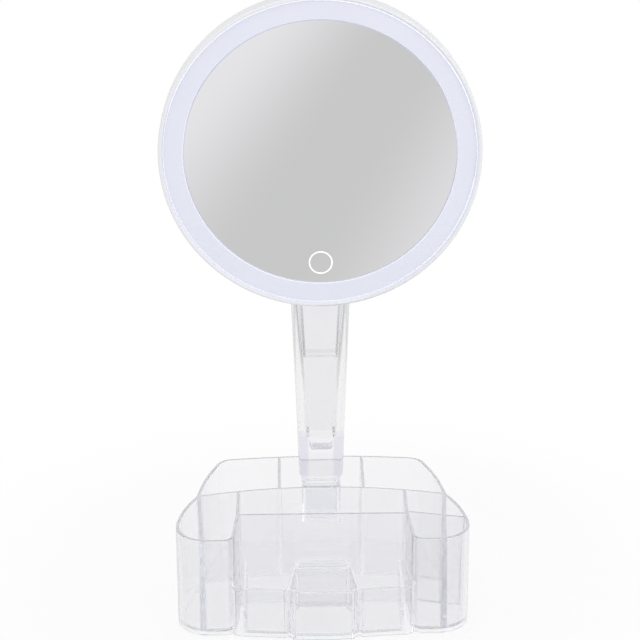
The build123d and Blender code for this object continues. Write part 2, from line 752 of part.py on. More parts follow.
with BuildPart() as hinge_screw:
    with BuildSketch(Plane.YZ.offset(-EAR_OUTER_X - NUT_HEIGHT - SCREW_TIP)):
        with Locations((STEM_Y, HINGE_Z)):
            Circle(HINGE_BORE - HINGE_PLAY)
    extrude(amount=2 * EAR_OUTER_X + NUT_HEIGHT + SCREW_TIP)
    with BuildSketch(Plane.YZ.offset(EAR_OUTER_X)):
        with Locations((STEM_Y, HINGE_Z)):
            Circle(SCREW_HEAD_RADIUS)
    extrude(amount=SCREW_HEAD_HEIGHT)
    fillet(hinge_screw.faces().sort_by(Axis.X)[-1].edges(), SCREW_HEAD_HEIGHT / 2)
    with Locations((EAR_OUTER_X + SCREW_HEAD_HEIGHT, STEM_Y, HINGE_Z)):
        Box(2 * SCREW_SLOT_DEPTH, 2 * SCREW_HEAD_RADIUS, SCREW_SLOT_WIDTH, mode=Mode.SUBTRACT)
write(hinge_screw, "hinge_screw")

with BuildPart() as hinge_nut:
    with BuildSketch(Plane.YZ.offset(-EAR_OUTER_X)):
        with Locations((STEM_Y, HINGE_Z)):
            RegularPolygon(NUT_FLATS / 2, 6, major_radius=False)
            Circle(HINGE_BORE, mode=Mode.SUBTRACT)
    extrude(amount=-NUT_HEIGHT)
write(hinge_nut, "hinge_nut")


# Head sizes outwards from the glass: light ring, bezel, housing, and the box and boards inside
DIFFUSER_RADIUS = GLASS_RADIUS + RING_GAP + RING_WIDTH
BEZEL_BORE = DIFFUSER_RADIUS + RING_GAP
BEZEL_RADIUS = BEZEL_BORE + BEZEL_WALL
BEZEL_INNER = BEZEL_BORE - BEZEL_LEDGE
SPIGOT_RADIUS = BEZEL_RADIUS - HOUSING_WALL - RING_GAP
HEAD_Z = HINGE_Z - HINGE_RISE + BEZEL_RADIUS
TOUCH_DROP = GLASS_RADIUS - TOUCH_INSET
BOX_RADIUS = GLASS_RADIUS + RING_GAP + DIFFUSER_SKIRT + BOX_GAP
LED_BOARD_INNER = BOX_RADIUS + BOX_GAP
LED_BOARD_OUTER = BEZEL_INNER - BOX_GAP
BOX_RING_RADIUS = BEZEL_INNER - RING_GAP
LED_CIRCLE = (LED_BOARD_INNER + LED_BOARD_OUTER) / 2 + LED_OFFSET
POST_CIRCLE = GLASS_RADIUS - POST_INSET
HOUSING_FLAT_RADIUS = BEZEL_RADIUS - HOUSING_SHOULDER
CONTROL_Z = HEAD_Z - TOUCH_DROP + CONTROL_RISE


def head_plane(y):
    """Upright plane at this depth, centred on the mirror, drawn as seen from the front."""
    return Plane(origin=(0, y, HEAD_Z), x_dir=(1, 0, 0), z_dir=(0, -1, 0))


def wall_plane(y):
    """Upright plane at this depth, drawn in the object's own width and height."""
    return Plane(origin=(0, y, 0), x_dir=(1, 0, 0), z_dir=(0, -1, 0))


# Mirror head: turned profiles are drawn as radius against depth and turned about this axis
PROFILE_PLANE = Plane.XY.offset(HEAD_Z)
HEAD_AXIS = Axis((0, 0, HEAD_Z), (0, 1, 0))
GLASS_FRONT_Y = -GLASS_THICKNESS / 2
GLASS_BACK_Y = GLASS_THICKNESS / 2
DIFFUSER_FRONT_Y = GLASS_FRONT_Y - DIFFUSER_PROUD
BEZEL_FRONT_Y = DIFFUSER_FRONT_Y - BEZEL_LIP
with BuildPart() as mirror_glass:
    with BuildSketch(head_plane(GLASS_BACK_Y)):
        Circle(GLASS_RADIUS)
    extrude(amount=GLASS_THICKNESS)
    chamfer(mirror_glass.faces().sort_by(Axis.Y)[0].edges(), GLASS_BEVEL)
    with BuildSketch(head_plane(GLASS_FRONT_Y + TOUCH_RING_DEPTH)):
        with Locations((0, -TOUCH_DROP)):
            Circle(TOUCH_RING_OUTER)
            Circle(TOUCH_RING_INNER, mode=Mode.SUBTRACT)
    extrude(amount=TOUCH_RING_DEPTH, mode=Mode.SUBTRACT)
write(mirror_glass, "mirror_glass")

with BuildPart() as touch_ring:
    with BuildSketch(head_plane(GLASS_FRONT_Y + TOUCH_RING_DEPTH)):
        with Locations((0, -TOUCH_DROP)):
            Circle(TOUCH_RING_OUTER)
            Circle(TOUCH_RING_INNER, mode=Mode.SUBTRACT)
    extrude(amount=TOUCH_RING_DEPTH)
write(touch_ring, "touch_ring")

with BuildPart() as diffuser_ring:
    inner = GLASS_RADIUS + RING_GAP
    with BuildSketch(PROFILE_PLANE) as diffuser_profile:
        with BuildLine():
            Polyline(
                (inner, DIFFUSER_FRONT_Y),
                (DIFFUSER_RADIUS, DIFFUSER_FRONT_Y),
                (DIFFUSER_RADIUS, DIFFUSER_BACK_Y),
                (inner + DIFFUSER_SKIRT, DIFFUSER_BACK_Y),
                (inner + DIFFUSER_SKIRT, GLASS_BACK_Y),
                (inner, GLASS_BACK_Y),
                close=True,
            )
        make_face()
        fillet(diffuser_profile.vertices().group_by(Axis.Y)[0], DIFFUSER_ROUND)
    revolve(axis=HEAD_AXIS)
write(diffuser_ring, "diffuser_ring")

with BuildPart() as front_bezel:
    with BuildSketch(PROFILE_PLANE) as bezel_profile:
        with BuildLine():
            Polyline(
                (BEZEL_BORE, BEZEL_FRONT_Y),
                (BEZEL_RADIUS, BEZEL_FRONT_Y),
                (BEZEL_RADIUS, RIM_BACK_Y),
                (SPIGOT_RADIUS, RIM_BACK_Y),
                (SPIGOT_RADIUS, RIM_BACK_Y + SPIGOT_LENGTH),
                (BEZEL_INNER, RIM_BACK_Y + SPIGOT_LENGTH),
                (BEZEL_INNER, DIFFUSER_BACK_Y),
                (BEZEL_BORE, DIFFUSER_BACK_Y),
                close=True,
            )
        make_face()
        fillet(bezel_profile.vertices().group_by(Axis.Y)[0], BEZEL_ROUND)
    revolve(axis=HEAD_AXIS)
write(front_bezel, "front_bezel")

PLATE_BACK_Y = GLASS_BACK_Y + BOX_PLATE
with BuildPart() as light_box:
    with BuildSketch(PROFILE_PLANE):
        with BuildLine():
            Polyline(
                (0, GLASS_BACK_Y),
                (BOX_RADIUS, GLASS_BACK_Y),
                (BOX_RADIUS, LED_BOARD_BACK_Y),
                (BOX_RING_RADIUS, LED_BOARD_BACK_Y),
                (BOX_RING_RADIUS, LED_BOARD_BACK_Y + BOX_RING_THICKNESS),
                (BOX_RADIUS - BOX_WALL, LED_BOARD_BACK_Y + BOX_RING_THICKNESS),
                (BOX_RADIUS - BOX_WALL, PLATE_BACK_Y),
                (0, PLATE_BACK_Y),
                close=True,
            )
        make_face()
    revolve(axis=HEAD_AXIS)
    with BuildSketch(head_plane(WELL_SEAT_Y)):
        with PolarLocations(POST_CIRCLE, POST_COUNT):
            Circle(POST_RADIUS)
    extrude(amount=WELL_SEAT_Y - PLATE_BACK_Y)
    with BuildSketch(head_plane(WELL_SEAT_Y)):
        with PolarLocations(POST_CIRCLE, POST_COUNT):
            Circle(POST_PILOT)
    extrude(amount=WELL_SEAT_Y - PLATE_BACK_Y, mode=Mode.SUBTRACT)
    with BuildSketch(wall_plane(CONTROL_FRONT_Y)):
        with Locations((0, CONTROL_Z)):
            with GridLocations(
                CONTROL_WIDTH - 2 * CONTROL_POST_INSET,
                CONTROL_HEIGHT - 2 * CONTROL_POST_INSET,
                2,
                2,
            ):
                Circle(CONTROL_POST_RADIUS)
    extrude(amount=CONTROL_FRONT_Y - PLATE_BACK_Y)
    with BuildSketch(head_plane(PLATE_BACK_Y)):
        with Locations((0, -TOUCH_DROP)):
            Circle(TOUCH_HOLE_RADIUS)
    extrude(amount=BOX_PLATE, mode=Mode.SUBTRACT)
write(light_box, "light_box")

LED_BOARD_FRONT_Y = LED_BOARD_BACK_Y - BOARD_THICKNESS
with BuildPart() as led_board:
    with BuildSketch(head_plane(LED_BOARD_BACK_Y)):
        Circle(LED_BOARD_OUTER)
        Circle(LED_BOARD_INNER, mode=Mode.SUBTRACT)
    extrude(amount=BOARD_THICKNESS)
write(led_board, "led_board")

with BuildPart() as leds:
    with BuildSketch(head_plane(LED_BOARD_FRONT_Y)):
        with PolarLocations(LED_CIRCLE, LED_COUNT):
            Rectangle(LED_WIDTH, LED_LENGTH)
    extrude(amount=LED_HEIGHT)
write(leds, "leds")

TOUCH_DISC_BACK_Y = GLASS_BACK_Y + TOUCH_DISC_THICKNESS
with BuildPart() as touch_sensor:
    with BuildSketch(head_plane(TOUCH_DISC_BACK_Y)):
        with Locations((0, -TOUCH_DROP)):
            Circle(TOUCH_DISC_RADIUS)
    extrude(amount=TOUCH_DISC_THICKNESS)
write(touch_sensor, "touch_sensor")

TOUCH_Z = HEAD_Z - TOUCH_DROP
SPRING_REACH = CONTROL_FRONT_Y - TOUCH_DISC_BACK_Y
with BuildPart() as touch_spring:
    with BuildSketch(Plane.YZ):
        with BuildLine():
            Polyline(
                (TOUCH_DISC_BACK_Y, TOUCH_Z - TOUCH_SPRING_WIDTH / 2),
                (TOUCH_DISC_BACK_Y, TOUCH_Z + TOUCH_SPRING_WIDTH / 2),
                (CONTROL_FRONT_Y, TOUCH_Z + TOUCH_SPRING_WIDTH / 2),
                (CONTROL_FRONT_Y, TOUCH_Z - TOUCH_SPRING_WIDTH / 2),
                (CONTROL_FRONT_Y - TOUCH_SPRING_LEAF, TOUCH_Z - TOUCH_SPRING_WIDTH / 2),
                (
                    CONTROL_FRONT_Y - TOUCH_SPRING_LEAF,
                    TOUCH_Z + TOUCH_SPRING_WIDTH / 2 - TOUCH_SPRING_LEAF,
                ),
                (
                    TOUCH_DISC_BACK_Y + TOUCH_SPRING_LEAF,
                    TOUCH_Z + TOUCH_SPRING_WIDTH / 2 - TOUCH_SPRING_LEAF,
                ),
                (TOUCH_DISC_BACK_Y + TOUCH_SPRING_LEAF, TOUCH_Z - TOUCH_SPRING_WIDTH / 2),
                close=True,
            )
        make_face()
    extrude(amount=TOUCH_SPRING_WIDTH / 2, both=True)
write(touch_spring, "touch_spring")

CONTROL_BACK_Y = CONTROL_FRONT_Y + BOARD_THICKNESS
with BuildPart() as control_board:
    with BuildSketch(wall_plane(CONTROL_BACK_Y)):
        with Locations((0, CONTROL_Z)):
            Rectangle(CONTROL_WIDTH, CONTROL_HEIGHT)
    extrude(amount=BOARD_THICKNESS)
write(control_board, "control_board")

with BuildPart() as board_parts:
    with BuildSketch(wall_plane(CONTROL_BACK_Y)):
        with Locations((-CONTROL_WIDTH / 4, CONTROL_Z)):
            Rectangle(CHIP_SIZE, CHIP_SIZE)
    extrude(amount=-CHIP_HEIGHT)
    with BuildSketch(wall_plane(CONTROL_BACK_Y)):
        with Locations((CONTROL_WIDTH / 4, CONTROL_Z + CONTROL_HEIGHT / 4)):
            Rectangle(PLUG_WIDTH, PLUG_DEPTH)
    extrude(amount=-PLUG_HEIGHT)
    with BuildSketch(wall_plane(CONTROL_BACK_Y)):
        with Locations((CONTROL_WIDTH / 4, CONTROL_Z - CONTROL_HEIGHT / 4)):
            Circle(CAPACITOR_RADIUS)
    extrude(amount=-CAPACITOR_HEIGHT)
write(board_parts, "board_parts")

# Rear housing: a shallow dish with the battery bay, screw wells and hinge ears
BAY_WIDTH = (CELL_COUNT - 1) * CELL_PITCH + 2 * (CELL_RADIUS + BAY_PLAY)
BAY_HEIGHT = CELL_LENGTH + CELL_NUB_LENGTH + 2 * CONTACT_REACH
BAY_CENTRE_Z = HEAD_Z - BAY_DROP
BAY_LOW_Z = BAY_CENTRE_Z - BAY_HEIGHT / 2
BAY_HIGH_Z = BAY_CENTRE_Z + BAY_HEIGHT / 2
OPENING_WIDTH = BAY_WIDTH + 2 * BAY_LEDGE
OPENING_HIGH_Z = BAY_HIGH_Z + BAY_LEDGE
DOOR_FRONT_Y = HOUSING_BACK_Y - DOOR_THICKNESS
PIN_Y = HOUSING_BACK_Y - DOOR_PIN_DEPTH
PIN_Z = BAY_LOW_Z + DOOR_HINGE_GAP + DOOR_PIN_INSET
DOOR_WIDTH = OPENING_WIDTH - 2 * DOOR_GAP
PIN_SPAN = DOOR_WIDTH + 2 * DOOR_PIN_REACH
HOUSING_FLAT_Y = HOUSING_BACK_Y - HOUSING_WALL
with BuildPart() as rear_housing:
    with BuildSketch(PROFILE_PLANE):
        with BuildLine():
            EllipticalCenterArc(
                (HOUSING_FLAT_RADIUS, RIM_BACK_Y),
                BEZEL_RADIUS - HOUSING_FLAT_RADIUS,
                HOUSING_BACK_Y - RIM_BACK_Y,
                start_angle=0,
                arc_size=90,
            )
            Polyline(
                (HOUSING_FLAT_RADIUS, HOUSING_BACK_Y),
                (0, HOUSING_BACK_Y),
                (0, HOUSING_FLAT_Y),
                (HOUSING_FLAT_RADIUS, HOUSING_FLAT_Y),
            )
            EllipticalCenterArc(
                (HOUSING_FLAT_RADIUS, RIM_BACK_Y),
                BEZEL_RADIUS - HOUSING_FLAT_RADIUS - HOUSING_WALL,
                HOUSING_FLAT_Y - RIM_BACK_Y,
                start_angle=0,
                arc_size=90,
            )
            Line((BEZEL_RADIUS - HOUSING_WALL, RIM_BACK_Y), (BEZEL_RADIUS, RIM_BACK_Y))
        make_face()
    revolve(axis=HEAD_AXIS)
    with BuildSketch(wall_plane(HOUSING_FLAT_Y)):
        with Locations((0, BAY_CENTRE_Z)):
            Rectangle(BAY_WIDTH + 2 * BAY_WALL, BAY_HEIGHT + 2 * BAY_WALL)
    extrude(amount=HOUSING_FLAT_Y - BAY_FRONT_Y)
    with BuildSketch(wall_plane(HOUSING_BACK_Y)):
        with Locations((0, BAY_CENTRE_Z)):
            Rectangle(BAY_WIDTH, BAY_HEIGHT)
    extrude(amount=HOUSING_BACK_Y - BAY_FRONT_Y - BAY_FLOOR, mode=Mode.SUBTRACT)
    with BuildSketch(wall_plane(HOUSING_BACK_Y)):
        with Locations((0, BAY_LOW_Z)):
            Rectangle(
                OPENING_WIDTH, OPENING_HIGH_Z - BAY_LOW_Z, align=(Align.CENTER, Align.MIN)
            )
    extrude(amount=DOOR_THICKNESS, mode=Mode.SUBTRACT)
    with BuildSketch(wall_plane(DOOR_FRONT_Y)):
        with Locations((0, BAY_LOW_Z)):
            Rectangle(OPENING_WIDTH, DOOR_RELIEF_HEIGHT, align=(Align.CENTER, Align.MIN))
    extrude(amount=DOOR_RELIEF_DEPTH, mode=Mode.SUBTRACT)
    with Locations((0, PIN_Y, PIN_Z)):
        Cylinder(
            DOOR_PIN_RADIUS + DOOR_PIN_PLAY,
            PIN_SPAN + 2 * DOOR_GAP,
            rotation=(0, 90, 0),
            mode=Mode.SUBTRACT,
        )
    with BuildSketch(head_plane(HOUSING_FLAT_Y)):
        with PolarLocations(POST_CIRCLE, POST_COUNT):
            Circle(WELL_RADIUS)
    extrude(amount=HOUSING_FLAT_Y - WELL_SEAT_Y)
    with BuildSketch(head_plane(HOUSING_BACK_Y)):
        with PolarLocations(POST_CIRCLE, POST_COUNT):
            Circle(WELL_RECESS)
    extrude(amount=HOUSING_BACK_Y - WELL_SEAT_Y - WELL_SEAT_THICKNESS, mode=Mode.SUBTRACT)
    with BuildSketch(head_plane(HOUSING_BACK_Y)):
        with PolarLocations(POST_CIRCLE, POST_COUNT):
            Circle(SCREW_RADIUS + SCREW_CLEARANCE)
    extrude(amount=HOUSING_BACK_Y - WELL_SEAT_Y, mode=Mode.SUBTRACT)
    for side in (-1, 1):
        with BuildSketch(Plane.YZ.offset(side * EAR_INNER_X)) as ear_profile:
            with Locations((STEM_Y, HINGE_Z)):
                Circle(KNUCKLE_RADIUS)
            with Locations((EAR_ROOT_Y, HINGE_Z - EAR_DROP)):
                Rectangle(EAR_ROOT_DEPTH, EAR_DROP + EAR_RISE, align=(Align.CENTER, Align.MIN))
            make_hull()
            with Locations((STEM_Y, HINGE_Z)):
                Circle(HINGE_BORE + HINGE_PLAY, mode=Mode.SUBTRACT)
        extrude(amount=side * EAR_THICKNESS)
write(rear_housing, "rear_housing")

SEAT_BACK_Y = WELL_SEAT_Y + WELL_SEAT_THICKNESS
with BuildPart() as housing_screws:
    with BuildSketch(head_plane(SEAT_BACK_Y)):
        with PolarLocations(POST_CIRCLE, POST_COUNT):
            Circle(SCREW_RADIUS)
    extrude(amount=SCREW_LENGTH)
    with BuildSketch(head_plane(SEAT_BACK_Y)):
        with PolarLocations(POST_CIRCLE, POST_COUNT):
            Circle(SCREW_CAP_RADIUS)
    extrude(amount=-SCREW_CAP_HEIGHT)
write(housing_screws, "housing_screws")

# Four cells side by side, turned end for end in pairs, between leaf springs and buttons
CELL_Y = BAY_FRONT_Y + BAY_FLOOR + CELL_RADIUS + FIT_GAP


def cell_x(index):
    """Centre of one battery cell across the bay."""
    return (index - (CELL_COUNT - 1) / 2) * CELL_PITCH


def cell_end(index):
    """Which way one cell's raised end points, up or down."""
    return 1 - 2 * (index % 2)


def battery_cell(index):
    """One round cell with its raised contact end."""
    side = cell_end(index)
    with BuildPart() as cell:
        with BuildSketch(Plane.XY.offset(BAY_CENTRE_Z - side * (CELL_LENGTH + CELL_NUB_LENGTH) / 2)):
            with Locations((cell_x(index), CELL_Y)):
                Circle(CELL_RADIUS)
        extrude(amount=side * CELL_LENGTH)
        fillet(cell.edges(), CELL_EDGE)
        with BuildSketch(Plane.XY.offset(BAY_CENTRE_Z + side * (CELL_LENGTH - CELL_NUB_LENGTH) / 2)):
            with Locations((cell_x(index), CELL_Y)):
                Circle(CELL_NUB_RADIUS)
        extrude(amount=side * CELL_NUB_LENGTH)
    return cell.part


with BuildPart() as aa_cell_1:
    add(battery_cell(0))
write(aa_cell_1, "aa_cell_1")

with BuildPart() as aa_cell_2:
    add(battery_cell(1))
write(aa_cell_2, "aa_cell_2")

with BuildPart() as aa_cell_3:
    add(battery_cell(2))
write(aa_cell_3, "aa_cell_3")

with BuildPart() as aa_cell_4:
    add(battery_cell(3))
write(aa_cell_4, "aa_cell_4")

with BuildPart() as contact_springs:
    for index in range(CELL_COUNT):
        side = cell_end(index)
        wall_z = BAY_CENTRE_Z - side * BAY_HEIGHT / 2
        with BuildSketch(Plane.YZ.offset(cell_x(index))):
            with BuildLine():
                Polyline(
                    (CELL_Y - CONTACT_WIDTH / 2, wall_z),
                    (CELL_Y + CONTACT_WIDTH / 2, wall_z),
                    (CELL_Y + CONTACT_WIDTH / 2, wall_z + side * 2 * CONTACT_LEAF),
                    (CELL_Y + CONTACT_LEAF, wall_z + side * CONTACT_REACH),
                    (CELL_Y - CONTACT_LEAF, wall_z + side * CONTACT_REACH),
                    (CELL_Y + CONTACT_WIDTH / 2 - 2 * CONTACT_LEAF, wall_z + side * CONTACT_LEAF),
                    (CELL_Y - CONTACT_WIDTH / 2, wall_z + side * CONTACT_LEAF),
                    close=True,
                )
            make_face()
        extrude(amount=CONTACT_WIDTH / 2, both=True)
write(contact_springs, "contact_springs")

with BuildPart() as contact_plates:
    for index in range(CELL_COUNT):
        side = cell_end(index)
        wall_z = BAY_CENTRE_Z + side * BAY_HEIGHT / 2
        with BuildSketch(Plane.XY.offset(wall_z)):
            with Locations((cell_x(index), CELL_Y)):
                Rectangle(CONTACT_WIDTH, CONTACT_WIDTH)
        extrude(amount=-side * CONTACT_LEAF)
        with BuildSketch(Plane.XY.offset(wall_z)):
            with Locations((cell_x(index), CELL_Y)):
                Circle(CONTACT_BUTTON_RADIUS)
        extrude(amount=-side * CONTACT_REACH)
write(contact_plates, "contact_plates")

# Battery door, swinging about two short pins at its lower edge
DOOR_LOW_Z = BAY_LOW_Z + DOOR_HINGE_GAP
DOOR_HIGH_Z = OPENING_HIGH_Z - DOOR_GAP
with BuildPart() as battery_door:
    with BuildSketch(wall_plane(HOUSING_BACK_Y)):
        with Locations((0, DOOR_LOW_Z)):
            Rectangle(DOOR_WIDTH, DOOR_HIGH_Z - DOOR_LOW_Z, align=(Align.CENTER, Align.MIN))
    extrude(amount=DOOR_THICKNESS)
    lower_back_edge = battery_door.edges().filter_by(Axis.X).group_by(Axis.Z)[0].sort_by(Axis.Y)[-1]
    fillet(lower_back_edge, DOOR_ROUND)
    with Locations((0, PIN_Y, PIN_Z)):
        Cylinder(DOOR_PIN_RADIUS, PIN_SPAN, rotation=(0, 90, 0))
    with BuildSketch(wall_plane(HOUSING_BACK_Y)):
        with Locations((0, DOOR_HIGH_Z)):
            Circle(DOOR_NOTCH_RADIUS)
    extrude(amount=DOOR_NOTCH_DEPTH, mode=Mode.SUBTRACT)
write(battery_door, "battery_door")
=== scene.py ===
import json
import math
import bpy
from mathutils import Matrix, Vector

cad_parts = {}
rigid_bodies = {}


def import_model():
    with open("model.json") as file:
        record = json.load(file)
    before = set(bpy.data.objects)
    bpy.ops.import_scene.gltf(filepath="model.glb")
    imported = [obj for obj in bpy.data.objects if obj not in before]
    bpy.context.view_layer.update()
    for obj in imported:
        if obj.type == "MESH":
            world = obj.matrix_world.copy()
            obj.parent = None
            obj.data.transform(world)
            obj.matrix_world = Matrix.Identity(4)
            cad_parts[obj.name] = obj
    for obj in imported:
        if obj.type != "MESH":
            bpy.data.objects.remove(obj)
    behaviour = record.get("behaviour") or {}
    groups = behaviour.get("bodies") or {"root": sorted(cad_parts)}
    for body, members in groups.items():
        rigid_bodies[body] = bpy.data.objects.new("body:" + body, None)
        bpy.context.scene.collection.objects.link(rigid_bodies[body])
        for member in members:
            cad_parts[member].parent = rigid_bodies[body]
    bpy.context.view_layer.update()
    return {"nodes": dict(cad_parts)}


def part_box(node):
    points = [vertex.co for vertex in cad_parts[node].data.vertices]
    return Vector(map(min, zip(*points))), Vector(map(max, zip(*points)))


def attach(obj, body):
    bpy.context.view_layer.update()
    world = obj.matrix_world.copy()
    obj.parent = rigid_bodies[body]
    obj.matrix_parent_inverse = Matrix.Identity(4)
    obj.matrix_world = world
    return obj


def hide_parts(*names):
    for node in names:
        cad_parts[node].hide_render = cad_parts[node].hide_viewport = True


bl_info = {
    "name": "Cosmetics tray with lit mirror",
    "version": (1, 0, 0),
    "blender": (4, 5, 0),
    "location": "3D View > Sidebar > Vanity",
    "description": "Finishes a clear cosmetics tray with a lit, tilting round mirror and its studio",
    "category": "Add Mesh",
}

import bmesh
import bpy
from bpy.props import FloatProperty, FloatVectorProperty, IntProperty, PointerProperty
from mathutils import Quaternion, Vector
from mathutils.bvhtree import BVHTree
from mathutils.geometry import barycentric_transform

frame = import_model()

MM = 0.001
TRAY = (
    "tray_floor",
    "tray_back_wall",
    "tray_middle_wall",
    "tray_front_wall",
    "left_pod_wall",
    "right_pod_wall",
    "front_cells_wall",
    "back_divider_left",
    "back_divider_right",
    "left_pod_divider",
    "right_pod_divider",
    "right_pod_cross_wall",
    "front_divider_left",
    "front_divider_right",
    "front_ledge",
    "stem_socket",
)
STEM = ("stem", "stem_foot", "stem_neck")

# Fusing the clear mouldings
WELD = 0.001 * MM  # corners nearer than this are one
INSET = 0.05 * MM  # how far inside a face's corner its CAD face is looked for
REACH = 0.15 * MM  # how far from there the CAD face may lie
SAME_WAY = 0.98  # how nearly both must face the same way, 1 being exactly

# Where the clear plastic is tinted, and where painted shade and painted light are laid on it
STEM_LOW, STEM_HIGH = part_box("stem")
STEM_Y = (STEM_LOW.y + STEM_HIGH.y) / 2
SOCKET_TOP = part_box("stem_socket")[1].z
# The rims' painted shade is laid on faces that look up this squarely
FLAT_FULL, FLAT_GONE = 0.95, 0.7  # how squarely a wall's top looks up, 1 being straight up
# Painted light: the tray is paler beside and behind the stem, a little past the socket, taking out the shade
# of the socket's extra walls
SOCKET_X_FULL, SOCKET_X_GONE = 16 * MM, 17 * MM  # beside and behind the stem, a little past the socket
SOCKET_Y_FULL, SOCKET_Y_GONE = 11 * MM, 11.4 * MM
# Over this height the stem's painted lighter seat fades out
SEAT_FADE = 1.5 * MM
# Painted shade and light in the stem's foot: a colour, how far aside it is full and gone, a height, and how
# far from that height it is full and gone. First painted lavender shade on the thick flanks, then a painted
# lighter patch on the window between them.
FOOT_PAINTED_SHADE_AND_LIGHT = (
    ("#E8E6EE", (9 * MM, 7.6 * MM), 83.5 * MM, (15.5 * MM, 16.5 * MM)),
    ("#FAFAFB", (7.6 * MM, 8 * MM), 94 * MM, (5 * MM, 6 * MM)),
)
# Painted shade lines down the stem's inner corners: how far aside at the socket and at the top, half the
# width, colour
PAINTED_SHADE_LINES = (
    (5.7 * MM, 16.3 * MM, 1.2 * MM, "#B4B4B4"),
    (12 * MM, 18.9 * MM, 0.9 * MM, "#DCDEDE"),
)
SHADE_LINES_FROM, SHADE_LINES_FULL = 129 * MM, 164 * MM  # heights between which they come in

EDGE_ON = 0.9  # a face that looks less than this along the head's axis is an edge
# Sleeve of a battery cell: where each colour starts, as shares of the way from the lower tip to the upper
SLEEVE_BANDS = (
    (0.0, "#B9BDC2"),
    (0.03, "#3E4750"),
    (0.24, "#C9CED4"),
    (0.27, "#3E4750"),
    (0.97, "#B9BDC2"),
)

# Shares of a screw's own sizes
DOME_FALL = 0.4  # of the head's height, how far its rim lies below its middle
BLADE_WIDTH = 0.24  # of the recess, the width of its slots
BLADE_HEIGHT = 1.3  # of the head's height, half of it above the head and half cutting in

FLOOR_HALF = 4.0  # half the side of the floor, in metres
FLOOR_DROP = 0.2 * MM  # keeps the floor off the face that the tray stands on
SHADOW_RADIUS = 0.3125  # in metres; the floor is shaded inside half of this, and plain white beyond it
CARD_CORE = 0.15  # share of the grey card's width that is full grey
BOUNCES = 64  # light stays in the clear walls for many bounces, and they turn black where it is cut off

# A Mix node has sockets for every type of data; these are the ones for colours
SHARE, UNDER, OVER, MIXED = 0, 6, 7, 2


def linear(colour):
    """A hex colour as it is seen, as the linear values that a shader works with."""
    parts = [int(colour[i : i + 2], 16) / 255 for i in (1, 3, 5)]
    return [p / 12.92 if p <= 0.04045 else ((p + 0.055) / 1.055) ** 2.4 for p in parts]


def per_mm(size):
    """A texture's scale from the size of its grain in millimetres."""
    return 1 / (size * MM)


def add(tree, kind, wires=None, **settings):
    """Adds a node. Options are keywords; wires gives an input a value, or the node and output it reads."""
    node = tree.nodes.new(kind)
    for name, value in settings.items():
        setattr(node, name, value)
    for name, value in (wires or {}).items():
        if isinstance(value, tuple) and isinstance(value[0], bpy.types.Node):
            tree.links.new(value[0].outputs[value[1]], node.inputs[name])
        elif isinstance(value, list) and len(value) == 3 and node.inputs[name].type == "RGBA":
            node.inputs[name].default_value = value + [1.0]
        else:
            node.inputs[name].default_value = value
    return node


def material_tree(name):
    """An empty node material, its tree and the coordinates that its patterns read."""
    material = bpy.data.materials.new(name)
    material.use_nodes = True
    material.node_tree.nodes.clear()
    return material, material.node_tree, add(material.node_tree, "ShaderNodeTexCoord")


def within(tree, value, middle, full, gone, **settings):
    """A share that goes from 1 to 0 while a value's distance from a middle goes from full to gone."""
    off = add(tree, "ShaderNodeMath", {0: value, 1: middle}, operation="SUBTRACT")
    distance = add(tree, "ShaderNodeMath", {0: (off, 0)}, operation="ABSOLUTE")
    ends = {"Value": (distance, 0), "From Min": full, "From Max": gone, "To Min": 1.0, "To Max": 0.0}
    return add(tree, "ShaderNodeMapRange", ends, **settings), 0


def painted(tree, under, over, *shares):
    """A colour laid over another by the product of these shares."""
    share = shares[0]
    for other in shares[1:]:
        share = add(tree, "ShaderNodeMath", {0: share, 1: other}, operation="MULTIPLY"), 0
    return add(tree, "ShaderNodeMix", {SHARE: share, UNDER: under, OVER: over}, data_type="RGBA"), MIXED


def clouded(tree, place, first, second, grain, detail):
    """A colour that drifts between two, in clouds of so many millimetres."""
    size = {"Vector": (place, "Object"), "Scale": per_mm(grain), "Detail": detail}
    return painted(tree, first, second, (add(tree, "ShaderNodeTexNoise", size), 0))


def skin(tree, place, grain, detail, strength, depth, roughness=0.5):
    """A surface's grain as noise, and the bump that it gives. Grain and depth are in millimetres."""
    size = {"Vector": (place, "Object"), "Scale": per_mm(grain), "Detail": detail, "Roughness": roughness}
    noise = add(tree, "ShaderNodeTexNoise", size)
    height = {"Height": (noise, 0), "Strength": strength, "Distance": depth * MM}
    return noise, add(tree, "ShaderNodeBump", height)


def drawn_gloss(tree, place, stretch, line, smooth, rough):
    """Roughness in fine lines, so many millimetres apart, along the way that a metal was drawn."""
    along = add(tree, "ShaderNodeMapping", {"Vector": (place, "Object"), "Scale": Vector(stretch)})
    lines = add(tree, "ShaderNodeTexNoise", {"Vector": (along, 0), "Scale": per_mm(line), "Detail": 3.0})
    return add(tree, "ShaderNodeMapRange", {"Value": (lines, 0), "To Min": smooth, "To Max": rough}), 0


def with_edge(tree, place, face, edge):
    """One finish on the front and back of a disc or ring, and another on its edges."""
    facing = add(tree, "ShaderNodeSeparateXYZ", {"Vector": (place, "Normal")})
    along = add(tree, "ShaderNodeMath", {0: (facing, "Y")}, operation="ABSOLUTE")
    side = add(tree, "ShaderNodeMath", {0: (along, 0), 1: EDGE_ON}, operation="LESS_THAN")
    return add(tree, "ShaderNodeMixShader", {0: (side, 0), 1: (face, 0), 2: (edge, 0)})


def looked_at(tree, path):
    """1 for what the eye meets, straight on, in gloss or through clear plastic, and 0 for light."""
    rays = {0: (path, "Is Camera Ray"), 1: (path, "Is Glossy Ray")}
    seen = add(tree, "ShaderNodeMath", rays, operation="MAXIMUM")
    more = {0: (seen, 0), 1: (path, "Is Transmission Ray")}
    return add(tree, "ShaderNodeMath", more, operation="MAXIMUM"), 0


